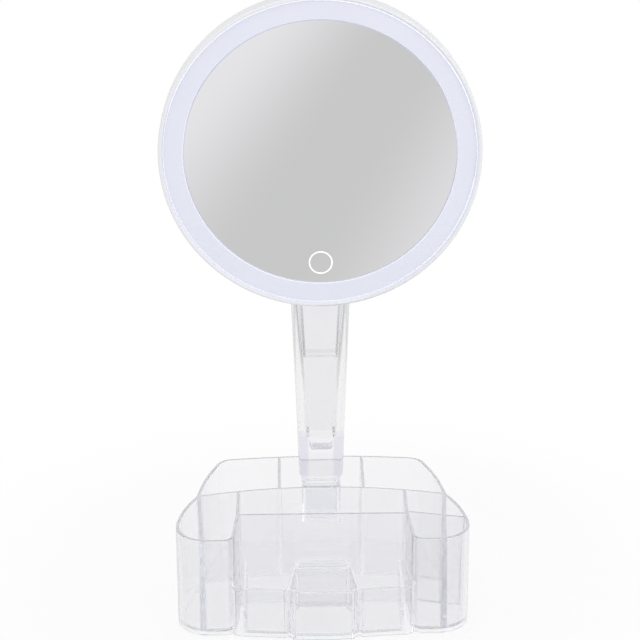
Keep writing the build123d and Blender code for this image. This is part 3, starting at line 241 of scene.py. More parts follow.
# Clear injection-moulded polystyrene: bright and see-through, with faint flow waves and a lavender depth.
# Its IOR is a little under the usual 1.59, which keeps its edges pale, as in the photograph.
def clear_polystyrene(clear, name, tint):
    material, tree, place = material_tree(name)
    _, wave = skin(tree, place, grain=16, detail=1.5, strength=0.1, depth=0.2, roughness=0.4)
    body = add(
        tree,
        "ShaderNodeBsdfPrincipled",
        {
            "Base Color": tint(tree, place, clear),
            "Roughness": clear.haze,
            "IOR": 1.49,
            "Transmission Weight": 1.0,
            "Normal": (wave, 0),
        },
    )
    path = add(tree, "ShaderNodeLightPath")
    open_air = add(tree, "ShaderNodeBsdfTransparent", {"Color": linear("#FDFDFE")})
    mix = add(tree, "ShaderNodeMixShader", {0: (path, "Is Shadow Ray"), 1: (body, 0), 2: (open_air, 0)})
    density = {"Color": list(clear.depth_colour), "Density": clear.depth}
    depth = add(tree, "ShaderNodeVolumeAbsorption", density)
    add(tree, "ShaderNodeOutputMaterial", {"Surface": (mix, 0), "Volume": (depth, 0)})
    return material


def tray_tint(tree, place, clear):
    """Painted shade: greyer on the flat tops of the tall walls, standing in for the dark lines seen looking
    down into them. Painted light: paler beside and behind the stem's socket, taking out the shade of its
    extra walls.
    """
    where = add(tree, "ShaderNodeSeparateXYZ", {"Vector": (place, "Object")})
    facing = add(tree, "ShaderNodeSeparateXYZ", {"Vector": (place, "Normal")})
    flat = within(tree, (facing, "Z"), 0.0, FLAT_FULL, FLAT_GONE)
    height = {"Value": (where, "Z"), "From Min": clear.rim_from, "From Max": clear.rim_from + MM}
    tall = add(tree, "ShaderNodeMapRange", height)
    # Painted shade: grey laid on the flat tops of the tall walls
    shaded_rims = painted(tree, list(clear.colour), list(clear.rim_painted_shade), flat, (tall, 0))
    # Painted light: paler where the socket's extra walls would shade it
    beside = within(tree, (where, "X"), 0.0, SOCKET_X_FULL, SOCKET_X_GONE)
    behind = within(tree, (where, "Y"), STEM_Y, SOCKET_Y_FULL, SOCKET_Y_GONE)
    return painted(tree, shaded_rims, linear("#FEFEFF"), beside, behind)


def stem_tint(tree, place, clear):
    """Painted lighter in its seat and in the foot's window, painted lavender shade on the foot's thick
    flanks, and painted grey shade lines down the inner corners.
    """
    where = add(tree, "ShaderNodeSeparateXYZ", {"Vector": (place, "Object")})
    aside, height = (where, "X"), (where, "Z")
    # Painted light: the stem is paler where it sits in the socket, taking out the shade of the socket's
    # walls
    seat = {"Value": height, "From Min": SOCKET_TOP, "From Max": SOCKET_TOP - SEAT_FADE}
    seated = add(tree, "ShaderNodeMapRange", seat)
    tint = painted(tree, list(clear.stem_colour), linear("#FDFDFF"), (seated, 0))
    # Painted lavender shade on the foot's flanks, and painted light on the window between them
    for colour, sideways, middle, upright in FOOT_PAINTED_SHADE_AND_LIGHT:
        zone = within(tree, aside, 0.0, *sideways), within(tree, height, middle, *upright)
        tint = painted(tree, tint, linear(colour), *zone)
    # Painted shade: grey lines down the stem's inner corners, coming in with height
    fade = add(tree, "ShaderNodeMapRange", {"Value": height, "From Min": SHADE_LINES_FROM, "From Max": SHADE_LINES_FULL})
    distance = add(tree, "ShaderNodeMath", {0: aside}, operation="ABSOLUTE")
    for foot_x, top_x, half, colour in PAINTED_SHADE_LINES:
        ends = {"Value": height, "From Min": SOCKET_TOP, "From Max": STEM_HIGH.z}
        corner = add(tree, "ShaderNodeMapRange", {**ends, "To Min": foot_x, "To Max": top_x})
        line = within(tree, (distance, 0), (corner, 0), 0.0, half)
        tint = painted(tree, tint, linear(colour), line, (fade, 0))
    return tint


# Silvered float glass: a true mirror under clear glass, with the least haze of wiping; its ground edge and
# bevel are dull, and painted light, a glow in the light ring's tone, lifts them out of shade
def silvered_glass(head):
    material, tree, place = material_tree("silvered float glass")
    size = {"Vector": (place, "Object"), "Scale": per_mm(45), "Detail": 2.0}
    wipe = add(tree, "ShaderNodeTexNoise", size)
    haze = add(tree, "ShaderNodeMapRange", {"Value": (wipe, 0), "To Min": 0.006, "To Max": 0.02})
    silver = add(
        tree,
        "ShaderNodeBsdfPrincipled",
        {
            "Base Color": list(head.mirror_colour),
            "Metallic": 1.0,
            "Roughness": (haze, 0),
            "Coat Weight": 0.4,
            "Coat Roughness": 0.01,
            "Coat IOR": 1.52,
        },
    )
    # Painted light: the dull edge glows with the ring's glow
    ground = add(
        tree,
        "ShaderNodeBsdfPrincipled",
        {
            "Base Color": linear("#C6C8D0"),
            "Roughness": 0.5,
            "Emission Color": linear("#E6E8FA"),
            "Emission Strength": head.glow,
        },
    )
    whole = with_edge(tree, place, silver, ground)
    add(tree, "ShaderNodeOutputMaterial", {"Surface": (whole, 0)})
    return material


# Opal acrylic, moulded and frosted: an even blue-white veil that glows softly from behind. Its edges are
# paler and carry painted light, a glow that is brighter on the outer edge, lifting them out of shade. The
# frosting is drawn at 0.9 mm, coarser than it is, so that it shows.
def opal_acrylic(head):
    material, tree, place = material_tree("frosted opal acrylic")
    _, frost = skin(tree, place, grain=0.9, detail=2.0, strength=0.04, depth=0.02)
    veil = add(
        tree,
        "ShaderNodeBsdfPrincipled",
        {
            "Base Color": clouded(
                tree, place, list(head.ring_colour), linear("#D1D3DD"), grain=30, detail=1.0
            ),
            "Roughness": 0.55,
            "IOR": 1.49,
            "Subsurface Weight": 0.25,
            "Subsurface Radius": Vector((1.0, 1.0, 1.0)),
            "Subsurface Scale": 1.5 * MM,
            "Emission Color": linear("#E6E8FA"),
            "Emission Strength": head.glow,
            "Normal": (frost, 0),
        },
    )
    # Painted light on the edges: the ring's glow inside, and the brighter painted gap light on the outer
    # edge
    low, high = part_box("diffuser_ring")
    halfway = (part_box("mirror_glass")[1].x + high.x) / 2
    centre = {0: (place, "Object"), 1: (low + high) / 2}
    out = add(tree, "ShaderNodeVectorMath", centre, operation="DISTANCE")
    ends = {"From Min": halfway - MM, "From Max": halfway + MM, "To Min": head.glow, "To Max": head.painted_gap_light}
    light = add(tree, "ShaderNodeMapRange", {"Value": (out, "Value"), **ends})
    edge = add(
        tree,
        "ShaderNodeBsdfPrincipled",
        {
            "Base Color": linear("#E4E6EC"),
            "Roughness": 0.5,
            "Emission Color": linear("#EEF0FA"),
            "Emission Strength": (light, 0),
        },
    )
    whole = with_edge(tree, place, veil, edge)
    add(tree, "ShaderNodeOutputMaterial", {"Surface": (whole, 0)})
    return material


# Gloss ABS from a polished mould: white, smooth, with the faintest orange peel
def gloss_abs(head):
    material, tree, place = material_tree("gloss moulded ABS")
    _, peel = skin(tree, place, grain=2.5, detail=1.0, strength=0.05, depth=0.05)
    look = {"Base Color": list(head.shell_colour), "Roughness": 0.24, "IOR": 1.53, "Normal": (peel, 0)}
    body = add(tree, "ShaderNodeBsdfPrincipled", look)
    add(tree, "ShaderNodeOutputMaterial", {"Surface": (body, 0)})
    return material


# ABS from a spark-eroded mould: white with a fine matt grain, drawn at 0.8 mm so that it shows
def grained_abs(head):
    material, tree, place = material_tree("grained moulded ABS")
    grain, bump = skin(tree, place, grain=0.8, detail=3.0, strength=0.25, depth=0.06)
    gloss = add(tree, "ShaderNodeMapRange", {"Value": (grain, 0), "To Min": 0.38, "To Max": 0.52})
    look = {"Base Color": list(head.shell_colour), "Roughness": (gloss, 0), "IOR": 1.53, "Normal": (bump, 0)}
    body = add(tree, "ShaderNodeBsdfPrincipled", look)
    add(tree, "ShaderNodeOutputMaterial", {"Surface": (body, 0)})
    return material


# White ceramic ink, screen-printed on the glass: flat, dense and a little chalky, with a faint painted glow.
# The marks of the screen's mesh are drawn at 0.5 mm, coarser than they are, so that they show.
def ceramic_ink():
    material, tree, place = material_tree("white screen-printed ink")
    # Painted light: the ink gives off a faint white glow
    body = add(
        tree,
        "ShaderNodeBsdfPrincipled",
        {
            "Base Color": clouded(
                tree, place, linear("#FFFFFF"), linear("#F6F7FA"), grain=0.5, detail=1.0
            ),
            "Roughness": 0.5,
            "Emission Color": linear("#FFFFFF"),
            "Emission Strength": 0.25,
        },
    )
    add(tree, "ShaderNodeOutputMaterial", {"Surface": (body, 0)})
    return material


# White moulded carrier, ABS as it comes from the mould: matt, a touch warmer than the shell, with its grain
# drawn at 1.2 mm so that it shows. It carries painted light, a pale glow that shows in the gap outside the
# ring.
def carrier_abs(head):
    material, tree, place = material_tree("matt moulded ABS")
    _, bump = skin(tree, place, grain=1.2, detail=2.0, strength=0.2, depth=0.05)
    # Painted light: the carrier glows with the painted gap light
    body = add(
        tree,
        "ShaderNodeBsdfPrincipled",
        {
            "Base Color": linear("#EAEAE6"),
            "Roughness": 0.55,
            "Emission Color": linear("#F2F3FC"),
            "Emission Strength": head.painted_gap_light,
            "Normal": (bump, 0),
        },
    )
    add(tree, "ShaderNodeOutputMaterial", {"Surface": (body, 0)})
    return material


# Glass-epoxy circuit board under solder mask: green, satin, with the weave just showing through. The real
# weave is about half a millimetre; it is drawn in steps of 6 by 3 mm so that it shows.
def solder_mask():
    material, tree, place = material_tree("solder-masked circuit board")
    weave = add(
        tree,
        "ShaderNodeTexBrick",
        {
            "Vector": (place, "Object"),
            "Color1": linear("#1F5B3A"),
            "Color2": linear("#1B5234"),
            "Mortar": linear("#2B7048"),
            "Scale": per_mm(12),
            "Mortar Size": 0.02,
        },
    )
    body = add(tree, "ShaderNodeBsdfPrincipled", {"Base Color": (weave, 0), "Roughness": 0.35, "IOR": 1.55})
    add(tree, "ShaderNodeOutputMaterial", {"Surface": (body, 0)})
    return material


# Phosphor-filled silicone of a light-emitting diode: pale yellow, soft and a little cloudy, with its powder
# drawn at 0.6 mm so that it shows
def phosphor_silicone():
    material, tree, place = material_tree("phosphor-filled silicone")
    tone = clouded(tree, place, linear("#F4EDB8"), linear("#EADF8C"), grain=0.6, detail=3.0)
    body = add(tree, "ShaderNodeBsdfPrincipled", {"Base Color": tone, "Roughness": 0.4})
    add(tree, "ShaderNodeOutputMaterial", {"Surface": (body, 0)})
    return material


# Black epoxy of moulded components: dark, dry and faintly speckled with its glass filler, drawn at 0.4 mm
# so that it shows
def black_epoxy():
    material, tree, place = material_tree("black moulded epoxy")
    tone = clouded(tree, place, linear("#1D1D1F"), linear("#303033"), grain=0.4, detail=4.0)
    body = add(tree, "ShaderNodeBsdfPrincipled", {"Base Color": tone, "Roughness": 0.6})
    add(tree, "ShaderNodeOutputMaterial", {"Surface": (body, 0)})
    return material


# Rolled copper foil: warm metal with the fine lines of the rolls, drawn 0.3 mm apart so that they show
def rolled_copper():
    material, tree, place = material_tree("rolled copper foil")
    gloss = drawn_gloss(tree, place, stretch=(0.05, 1, 1), line=0.3, smooth=0.22, rough=0.42)
    look = {"Base Color": linear("#D9925F"), "Metallic": 1.0, "Roughness": gloss}
    body = add(tree, "ShaderNodeBsdfPrincipled", look)
    add(tree, "ShaderNodeOutputMaterial", {"Surface": (body, 0)})
    return material


# Nickel-plated steel: bright, slightly warm, with drawing lines softened by the plating and drawn 0.35 mm
# apart so that they show
def nickel_steel():
    name = "nickel-plated steel"
    if name in bpy.data.materials:
        return bpy.data.materials[name]
    material, tree, place = material_tree(name)
    gloss = drawn_gloss(tree, place, stretch=(1, 1, 0.08), line=0.35, smooth=0.16, rough=0.34)
    look = {"Base Color": linear("#CFCBC4"), "Metallic": 1.0, "Roughness": gloss}
    body = add(tree, "ShaderNodeBsdfPrincipled", look)
    add(tree, "ShaderNodeOutputMaterial", {"Surface": (body, 0)})
    return material


# Nylon turned from rod: milky, waxy, with a hint of light in its edges
def turned_nylon():
    material, tree, place = material_tree("turned nylon")
    body = add(
        tree,
        "ShaderNodeBsdfPrincipled",
        {
            "Base Color": clouded(
                tree, place, linear("#EFEEE8"), linear("#E4E2DA"), grain=3, detail=2.0
            ),
            "Roughness": 0.45,
            "Subsurface Weight": 0.3,
            "Subsurface Radius": Vector((1.0, 1.0, 1.0)),
            "Subsurface Scale": 1.0 * MM,
        },
    )
    add(tree, "ShaderNodeOutputMaterial", {"Surface": (body, 0)})
    return material


# Shrunk vinyl sleeve on a battery cell: slate grey satin, paler band round one end, tin at the tips
def shrunk_sleeve(low, high):
    material, tree, place = material_tree("shrunk vinyl sleeve")
    parts = add(tree, "ShaderNodeSeparateXYZ", {"Vector": (place, "Object")})
    band = add(tree, "ShaderNodeMapRange", {"Value": (parts, "Z"), "From Min": low, "From Max": high})
    ramp = add(tree, "ShaderNodeValToRGB", {0: (band, 0)})
    ramp.color_ramp.interpolation = "CONSTANT"
    bands = ramp.color_ramp.elements
    bands.remove(bands[1])
    for position, colour in SLEEVE_BANDS:
        start = bands.new(position) if position else bands[0]
        start.color = linear(colour) + [1.0]
    _, wrinkle = skin(tree, place, grain=4, detail=2.0, strength=0.15, depth=0.1)
    look = {"Base Color": (ramp, 0), "Roughness": 0.3, "Normal": (wrinkle, 0)}
    body = add(tree, "ShaderNodeBsdfPrincipled", look)
    add(tree, "ShaderNodeOutputMaterial", {"Surface": (body, 0)})
    return material


def card_share(tree, place, path, stage):
    """How much of the grey card a ray finds on the floor. Only direct reflections find any."""
    to_card = {"Vector": (place, "Object"), "Location": Vector(stage.card_place) * -1}
    across = add(tree, "ShaderNodeMapping", to_card)
    turn = {"Vector": (across, 0), "Angle": -stage.card_turn}
    turned = add(tree, "ShaderNodeVectorRotate", turn, rotation_type="Z_AXIS")
    parts = add(tree, "ShaderNodeSeparateXYZ", {"Vector": (turned, 0)})
    full, gone = stage.card_width * CARD_CORE, stage.card_width
    card = within(tree, (parts, "X"), 0.0, full, gone, interpolation_type="SMOOTHSTEP")
    rays = {0: (path, "Is Glossy Ray"), 1: (path, "Is Transmission Ray")}
    direct = add(tree, "ShaderNodeMath", rays, operation="SUBTRACT", use_clamp=True)
    return card, (direct, 0)


# Matt paper, unrolled as a sweep: shaded near the object, where its shadow falls, plain white further out.
# The paper's tooth is drawn at 1.5 mm so that it shows.
def white_paper(stage):
    material, tree, place = material_tree("white paper sweep")
    scaled = {"Vector": (place, "Object"), "Scale": Vector((1.0, 1.0, 1.0)) / SHADOW_RADIUS}
    away = add(tree, "ShaderNodeMapping", scaled)
    ball = add(tree, "ShaderNodeTexGradient", {"Vector": (away, 0)}, gradient_type="SPHERICAL")
    half = {"Value": (ball, 0), "From Max": 0.5}
    near = add(tree, "ShaderNodeMapRange", half, interpolation_type="SMOOTHSTEP")
    _, tooth = skin(tree, place, grain=1.5, detail=2.0, strength=0.05, depth=0.05)
    paper = add(tree, "ShaderNodeBsdfDiffuse", {"Color": list(stage.floor_colour), "Normal": (tooth, 0)})
    path = add(tree, "ShaderNodeLightPath")
    shares = card_share(tree, place, path, stage)
    tone = painted(tree, linear("#FFFFFF"), list(stage.card_colour), *shares)
    white = add(tree, "ShaderNodeEmission", {"Color": tone, "Strength": 1.0})
    share = {0: looked_at(tree, path), 1: stage.floor_lift}
    lift = add(tree, "ShaderNodeMath", share, operation="MULTIPLY")
    lifted = add(tree, "ShaderNodeMixShader", {0: (lift, 0), 1: (paper, 0), 2: (white, 0)})
    sweep = add(tree, "ShaderNodeMixShader", {0: (near, 0), 1: (white, 0), 2: (lifted, 0)})
    add(tree, "ShaderNodeOutputMaterial", {"Surface": (sweep, 0)})
    return material


def finish_nodes(names, material):
    """Gives these CAD nodes one material."""
    for name in names:
        for slot in frame["nodes"][name].material_slots:
            slot.material = material


def joined_copy(node, grow=0.0):
    """A copy of a CAD node with its loose faces joined, swelled by a hair where asked."""
    mesh = frame["nodes"][node].data.copy()
    shape = bmesh.new()
    shape.from_mesh(mesh)
    bmesh.ops.remove_doubles(shape, verts=shape.verts, dist=WELD)
    shape.normal_update()
    for corner in shape.verts:
        corner.co += corner.normal * grow
    shape.to_mesh(mesh)
    shape.free()
    for spare in [a.name for a in mesh.attributes if a.name in ("custom_normal", "sharp_face")]:
        mesh.attributes.remove(mesh.attributes[spare])
    return mesh


def as_plain_mesh(piece, name):
    """Bakes a piece's modifiers into a plain mesh of that name."""
    seen = piece.evaluated_get(bpy.context.evaluated_depsgraph_get())
    mesh = bpy.data.meshes.new_from_object(seen)
    piece.modifiers.clear()
    piece.data = mesh
    piece.name = mesh.name = name


def carried_normals(mesh, nodes):
    """Gives a fused mesh the exact normals of the CAD faces that its own faces came from."""
    points, faces, turns = [], [], []
    for name in nodes:
        source = frame["nodes"][name].data
        source.calc_loop_triangles()
        start = len(points)
        points.extend(corner.co.copy() for corner in source.vertices)
        for face in source.loop_triangles:
            faces.append([start + i for i in face.vertices])
            turns.append([source.corner_normals[i].vector.copy() for i in face.loops])
    near = BVHTree.FromPolygons(points, faces)
    normals = []
    for face in mesh.polygons:
        for i in face.vertices:
            # Looked for a little inside the corner, where no other face is as near
            inward = face.center - mesh.vertices[i].co
            spot = mesh.vertices[i].co + inward.normalized() * min(INSET, inward.length / 3)
            hits = [h for h in near.find_nearest_range(spot, REACH) if h[1].dot(face.normal) > SAME_WAY]
            if not hits:
                normals.append(face.normal.copy())
                continue
            place, _, index, _ = min(hits, key=lambda h: h[3])
            ends = [points[k] for k in faces[index]]
            normals.append(barycentric_transform(place, *ends, *turns[index]).normalized())
    mesh.polygons.foreach_set("use_smooth", [True] * len(mesh.polygons))
    mesh.normals_split_custom_set(normals)


def hold_in_box(mesh, names):
    """Keeps a mesh inside the box of these CAD nodes."""
    corners = [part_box(name) for name in names]
    low = [min(c[0][i] for c in corners) for i in range(3)]
    high = [max(c[1][i] for c in corners) for i in range(3)]
    for corner in mesh.vertices:
        corner.co = [min(max(corner.co[i], low[i]), high[i]) for i in range(3)]


def fused(name, nodes, swell, ease, material):
    """One clear mesh out of touching CAD nodes: their copies overlap by a hair, fuse and are eased back."""
    piece = bpy.data.objects.new(name, joined_copy(nodes[0]))
    bpy.context.scene.collection.objects.link(piece)
    others = bpy.data.collections.new(name + " parts")
    for node in nodes[1:]:
        others.objects.link(bpy.data.objects.new(node + "_copy", joined_copy(node, swell)))
    bpy.context.scene.collection.children.link(others)
    union = piece.modifiers.new("Fuse", "BOOLEAN")
    union.operation = "UNION"
    union.operand_type = "COLLECTION"
    union.collection = others
    union.solver = "EXACT"
    as_plain_mesh(piece, name)
    for copy in list(others.objects):
        bpy.data.objects.remove(copy)
    bpy.data.collections.remove(others)
    shape = bmesh.new()
    shape.from_mesh(piece.data)
    for corner in shape.verts:
        corner.co -= corner.normal * ease
    shape.to_mesh(piece.data)
    shape.free()
    hold_in_box(piece.data, nodes)
    carried_normals(piece.data, nodes)
    piece.data.materials.clear()
    piece.data.materials.append(material)
    return piece


def screw_tree():
    """Pan-head screws with a cross recess, standing on a circle round the housing's middle."""
    tree = bpy.data.node_groups.new("cross-recessed screws", "GeometryNodeTree")
    for name, kind in (
        ("Count", "NodeSocketInt"),
        ("Circle", "NodeSocketFloat"),
        ("Centre", "NodeSocketVector"),
        ("Head Radius", "NodeSocketFloat"),
        ("Head Height", "NodeSocketFloat"),
        ("Shank Radius", "NodeSocketFloat"),
        ("Length", "NodeSocketFloat"),
        ("Recess", "NodeSocketFloat"),
        ("Metal", "NodeSocketMaterial"),
    ):
        tree.interface.new_socket(name=name, in_out="INPUT", socket_type=kind)
    tree.interface.new_socket(name="Geometry", in_out="OUTPUT", socket_type="NodeSocketGeometry")
    given = add(tree, "NodeGroupInput")
    height = (given, "Head Height")

    # Domed head, its top at zero, that falls with the square of the way out
    cap = add(
        tree,
        "GeometryNodeMeshCylinder",
        {"Vertices": 32, "Fill Segments": 5, "Radius": (given, "Head Radius"), "Depth": height},
    )
    spot = add(tree, "GeometryNodeInputPosition")
    parts = add(tree, "ShaderNodeSeparateXYZ", {"Vector": (spot, 0)})
    flat = add(tree, "ShaderNodeCombineXYZ", {"X": (parts, "X"), "Y": (parts, "Y")})
    span = add(tree, "ShaderNodeVectorMath", {0: (flat, 0)}, operation="LENGTH")
    share = add(tree, "ShaderNodeMath", {0: (span, "Value"), 1: (given, "Head Radius")}, operation="DIVIDE")
    squared = add(tree, "ShaderNodeMath", {0: (share, 0), 1: (share, 0)}, operation="MULTIPLY")
    most = add(tree, "ShaderNodeMath", {0: height, 1: -DOME_FALL}, operation="MULTIPLY")
    fall = add(tree, "ShaderNodeMath", {0: (squared, 0), 1: (most, 0)}, operation="MULTIPLY")
    top = add(tree, "ShaderNodeMath", {0: (parts, "Z"), 1: 0.0}, operation="GREATER_THAN")
    rounded = add(tree, "ShaderNodeMath", {0: (fall, 0), 1: (top, 0)}, operation="MULTIPLY")
    bend = add(tree, "ShaderNodeCombineXYZ", {"Z": (rounded, 0)})
    domed = add(tree, "GeometryNodeSetPosition", {"Geometry": (cap, "Mesh"), "Offset": (bend, 0)})
    drop = add(tree, "ShaderNodeMath", {0: height, 1: -0.5}, operation="MULTIPLY")
    lowered = add(tree, "ShaderNodeCombineXYZ", {"Z": (drop, 0)})
    head = add(tree, "GeometryNodeTransform", {"Geometry": (domed, 0), "Translation": (lowered, 0)})

    # Cross recess, one slot after the other
    width = (given, "Recess")
    blade = add(tree, "ShaderNodeMath", {0: width, 1: BLADE_WIDTH}, operation="MULTIPLY")
    deep = add(tree, "ShaderNodeMath", {0: height, 1: BLADE_HEIGHT}, operation="MULTIPLY")
    for sides in ({"X": width, "Y": (blade, 0)}, {"X": (blade, 0), "Y": width}):
        size = add(tree, "ShaderNodeCombineXYZ", {**sides, "Z": (deep, 0)})
        slot = add(tree, "GeometryNodeMeshCube", {"Size": (size, 0)})
        head = add(tree, "GeometryNodeMeshBoolean", {"Mesh 1": (head, 0), "Mesh 2": (slot, "Mesh")})

    # Shank under the head
    reach = add(tree, "ShaderNodeMath", {0: (given, "Length"), 1: height}, operation="SUBTRACT")
    shank = add(
        tree,
        "GeometryNodeMeshCylinder",
        {"Vertices": 20, "Radius": (given, "Shank Radius"), "Depth": (reach, 0)},
    )
    half = add(tree, "ShaderNodeMath", {0: (reach, 0), 1: -0.5}, operation="MULTIPLY")
    under = add(tree, "ShaderNodeMath", {0: (half, 0), 1: height}, operation="SUBTRACT")
    down = add(tree, "ShaderNodeCombineXYZ", {"Z": (under, 0)})
    hung = add(tree, "GeometryNodeTransform", {"Geometry": (shank, "Mesh"), "Translation": (down, 0)})
    screw = add(tree, "GeometryNodeJoinGeometry")
    tree.links.new(head.outputs[0], screw.inputs[0])
    tree.links.new(hung.outputs[0], screw.inputs[0])

    # One on each point of the circle, each turned its own way
    ring = add(tree, "GeometryNodeMeshCircle", {"Vertices": (given, "Count"), "Radius": (given, "Circle")})
    upright = Vector((math.pi / 2, 0, 0))
    raised = add(
        tree,
        "GeometryNodeTransform",
        {"Geometry": (ring, 0), "Translation": (given, "Centre"), "Rotation": upright},
    )
    spin = add(
        tree,
        "FunctionNodeRandomValue",
        {"Min": Vector((-upright.x, 0, 0)), "Max": Vector((-upright.x, 0, math.pi / 2)), "Seed": 3},
        data_type="FLOAT_VECTOR",
    )
    stand = add(
        tree,
        "GeometryNodeInstanceOnPoints",
        {"Points": (raised, 0), "Instance": (screw, 0), "Rotation": (spin, 0)},
    )
    real = add(tree, "GeometryNodeRealizeInstances", {"Geometry": (stand, 0)})
    plated = add(tree, "GeometryNodeSetMaterial", {"Geometry": (real, 0), "Material": (given, "Metal")})
    result = add(tree, "NodeGroupOutput")
    tree.links.new(plated.outputs[0], result.inputs[0])
    return tree


class VANITY_PG_clear(bpy.types.PropertyGroup):
    colour: FloatVectorProperty(
        name="Tray plastic", description="Tint of the tray's clear plastic", subtype="COLOR",
        default=linear("#FAFAFB"), min=0, max=1,
    )
    # Painted shade: the grey that the flat tops of the tall walls take, standing in for the dark rim lines
    rim_painted_shade: FloatVectorProperty(
        name="Rims", description="Tint of the flat tops of the tall walls", subtype="COLOR",
        default=linear("#CCCCD0"), min=0, max=1,
    )
    # Height above which the painted rim shade is laid
    rim_from: FloatProperty(
        name="Rims from", description="Height above which the walls' tops take that tint",
        default=60 * MM, min=0, unit="LENGTH",
    )
    stem_colour: FloatVectorProperty(
        name="Stem plastic", description="Tint of the stem's thicker, milkier plastic", subtype="COLOR",
        default=linear("#F4F4F5"), min=0, max=1,
    )
    depth_colour: FloatVectorProperty(
        name="Depth colour", description="Colour that thick plastic turns", subtype="COLOR",
        default=linear("#CDCDDE"), min=0, max=1,
    )
    depth: FloatProperty(
        name="Depth", description="How fast the plastic takes up that colour, per metre",
        default=2.5, min=0,
    )
    seat_gap: FloatProperty(
        name="Seat gap", description="How far the stem stands clear of its socket",
        default=0.03 * MM, min=0, unit="LENGTH", precision=5,
    )
    glue_gap: FloatProperty(
        name="Glue gap", description="How far foot and neck are swelled to close their glue gap",
        default=0.17 * MM, min=0, unit="LENGTH", precision=5,
    )
    haze: FloatProperty(
        name="Haze", description="Roughness of the moulded surface", subtype="FACTOR",
        default=0.1, min=0, max=1,
    )
    overlap: FloatProperty(
        name="Overlap", description="How far walls are swelled so that they fuse",
        default=0.05 * MM, min=0, unit="LENGTH", precision=5,
    )


class VANITY_PG_head(bpy.types.PropertyGroup):
    mirror_colour: FloatVectorProperty(
        name="Mirror", description="Tone of the silvering", subtype="COLOR",
        default=linear("#E4E3E6"), min=0, max=1,
    )
    ring_colour: FloatVectorProperty(
        name="Light ring", description="Colour of the frosted light ring", subtype="COLOR",
        default=linear("#CED0DA"), min=0, max=1,
    )
    # The ring's glow is also painted light on the mirror glass's ground edge and on the ring's inner edges
    glow: FloatProperty(
        name="Glow", description="Light that the ring gives off by itself", default=0.16, min=0,
    )
    # Painted light: the glow on the carrier in the gap outside the ring and on the ring's outer edge
    painted_gap_light: FloatProperty(
        name="Leak", description="Light that shows in the gap outside the ring", default=0.55, min=0,
    )
    shell_colour: FloatVectorProperty(
        name="Shell", description="Colour of the white shell", subtype="COLOR",
        default=linear("#E5E6EA"), min=0, max=1,
    )
    screw_count: IntProperty(name="Screws", description="Screws in the rear housing", default=6, min=3)
    screw_circle: FloatProperty(
        name="Screw circle", description="Radius of the circle that the screws stand on",
        default=66 * MM, unit="LENGTH",
    )
    screw_cap: FloatProperty(
        name="Screw head", description="Width of a screw's head",
        default=5.6 * MM, unit="LENGTH", precision=4,
    )
    screw_cap_height: FloatProperty(
        name="Screw head height", description="Height of a screw's head",
        default=1.8 * MM, unit="LENGTH", precision=4,
    )
    screw_shank: FloatProperty(
        name="Screw shank", description="Thickness of a screw's shank",
        default=2.6 * MM, unit="LENGTH", precision=4,
    )
    recess: FloatProperty(
        name="Cross recess", description="Width across a screw's cross recess",
        default=3.2 * MM, unit="LENGTH", precision=4,
    )


class VANITY_PG_stage(bpy.types.PropertyGroup):
    floor_colour: FloatVectorProperty(
        name="Floor", description="Colour of the floor", subtype="COLOR",
        default=linear("#FBFBFC"), min=0, max=1,
    )
    floor_lift: FloatProperty(
        name="Floor lift", description="How far the near floor is lifted to white for the eye",
        subtype="FACTOR", default=0.8, min=0, max=1,
    )
    card_place: FloatVectorProperty(
        name="Grey card", description="Middle of the grey card that the mirror shows",
        subtype="TRANSLATION", unit="LENGTH", default=(0.036, -0.982, 0.0),
    )
    card_turn: FloatProperty(
        name="Card turn", description="Turn of the grey card on the floor", subtype="ANGLE",
        default=math.radians(12.1),
    )
    card_width: FloatProperty(
        name="Card width", description="Half the card's width, to where it fades out",
        default=0.2, unit="LENGTH",
    )
    card_colour: FloatVectorProperty(
        name="Card colour", description="Grey of the card that the mirror shows", subtype="COLOR",
        default=linear("#DFE0DE"), min=0, max=1,
    )
    camera_place: FloatVectorProperty(
        name="Camera", description="Where the camera stands", subtype="TRANSLATION", unit="LENGTH",
        default=(-0.0199, -1.3182, 0.71),
    )
    camera_aim: FloatVectorProperty(
        name="Aim", description="What the camera looks at", subtype="TRANSLATION", unit="LENGTH",
        default=(-0.0004, 0.015, 0.1846),
    )
    camera_roll: FloatProperty(
        name="Camera roll", description="Turn of the camera about its own axis", subtype="ANGLE",
        default=math.radians(-0.26),
    )
    focal_length: FloatProperty(
        name="Focal length", description="Lens, in millimetres", unit="CAMERA", default=127.46,
    )
    key_power: FloatProperty(
        name="Key light", description="Power of the key light", default=8.0, unit="POWER",
    )
    fill_power: FloatProperty(
        name="Fill light", description="Power of the fill light", default=6.5, unit="POWER",
    )
    sky: FloatProperty(
        name="Sky", description="Strength of the light from all round", default=0.72, min=0,
    )


class VANITY_OT_clear_tray(bpy.types.Operator):
    """Fuses the tray's floor, walls and dividers into one clear moulding"""

    bl_idname = "vanity.clear_tray"
    bl_label = "Clear tray"

    def execute(self, context):
        clear = context.scene.vanity_clear
        plastic = clear_polystyrene(clear, "clear moulded polystyrene", tray_tint)
        tray = fused("clear_tray", TRAY, clear.overlap, 0.0, plastic)
        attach(tray, "tray")
        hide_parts(*TRAY)
        return {"FINISHED"}


class VANITY_OT_clear_stem(bpy.types.Operator):
    """Fuses the glued stem, foot and neck, a hair clear of the socket"""

    bl_idname = "vanity.clear_stem"
    bl_label = "Clear stem"

    def execute(self, context):
        clear = context.scene.vanity_clear
        plastic = clear_polystyrene(clear, "milky moulded polystyrene", stem_tint)
        stem = fused("clear_stem", STEM, clear.glue_gap, clear.glue_gap + clear.seat_gap, plastic)
        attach(stem, "stem")
        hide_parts(*STEM)
        return {"FINISHED"}


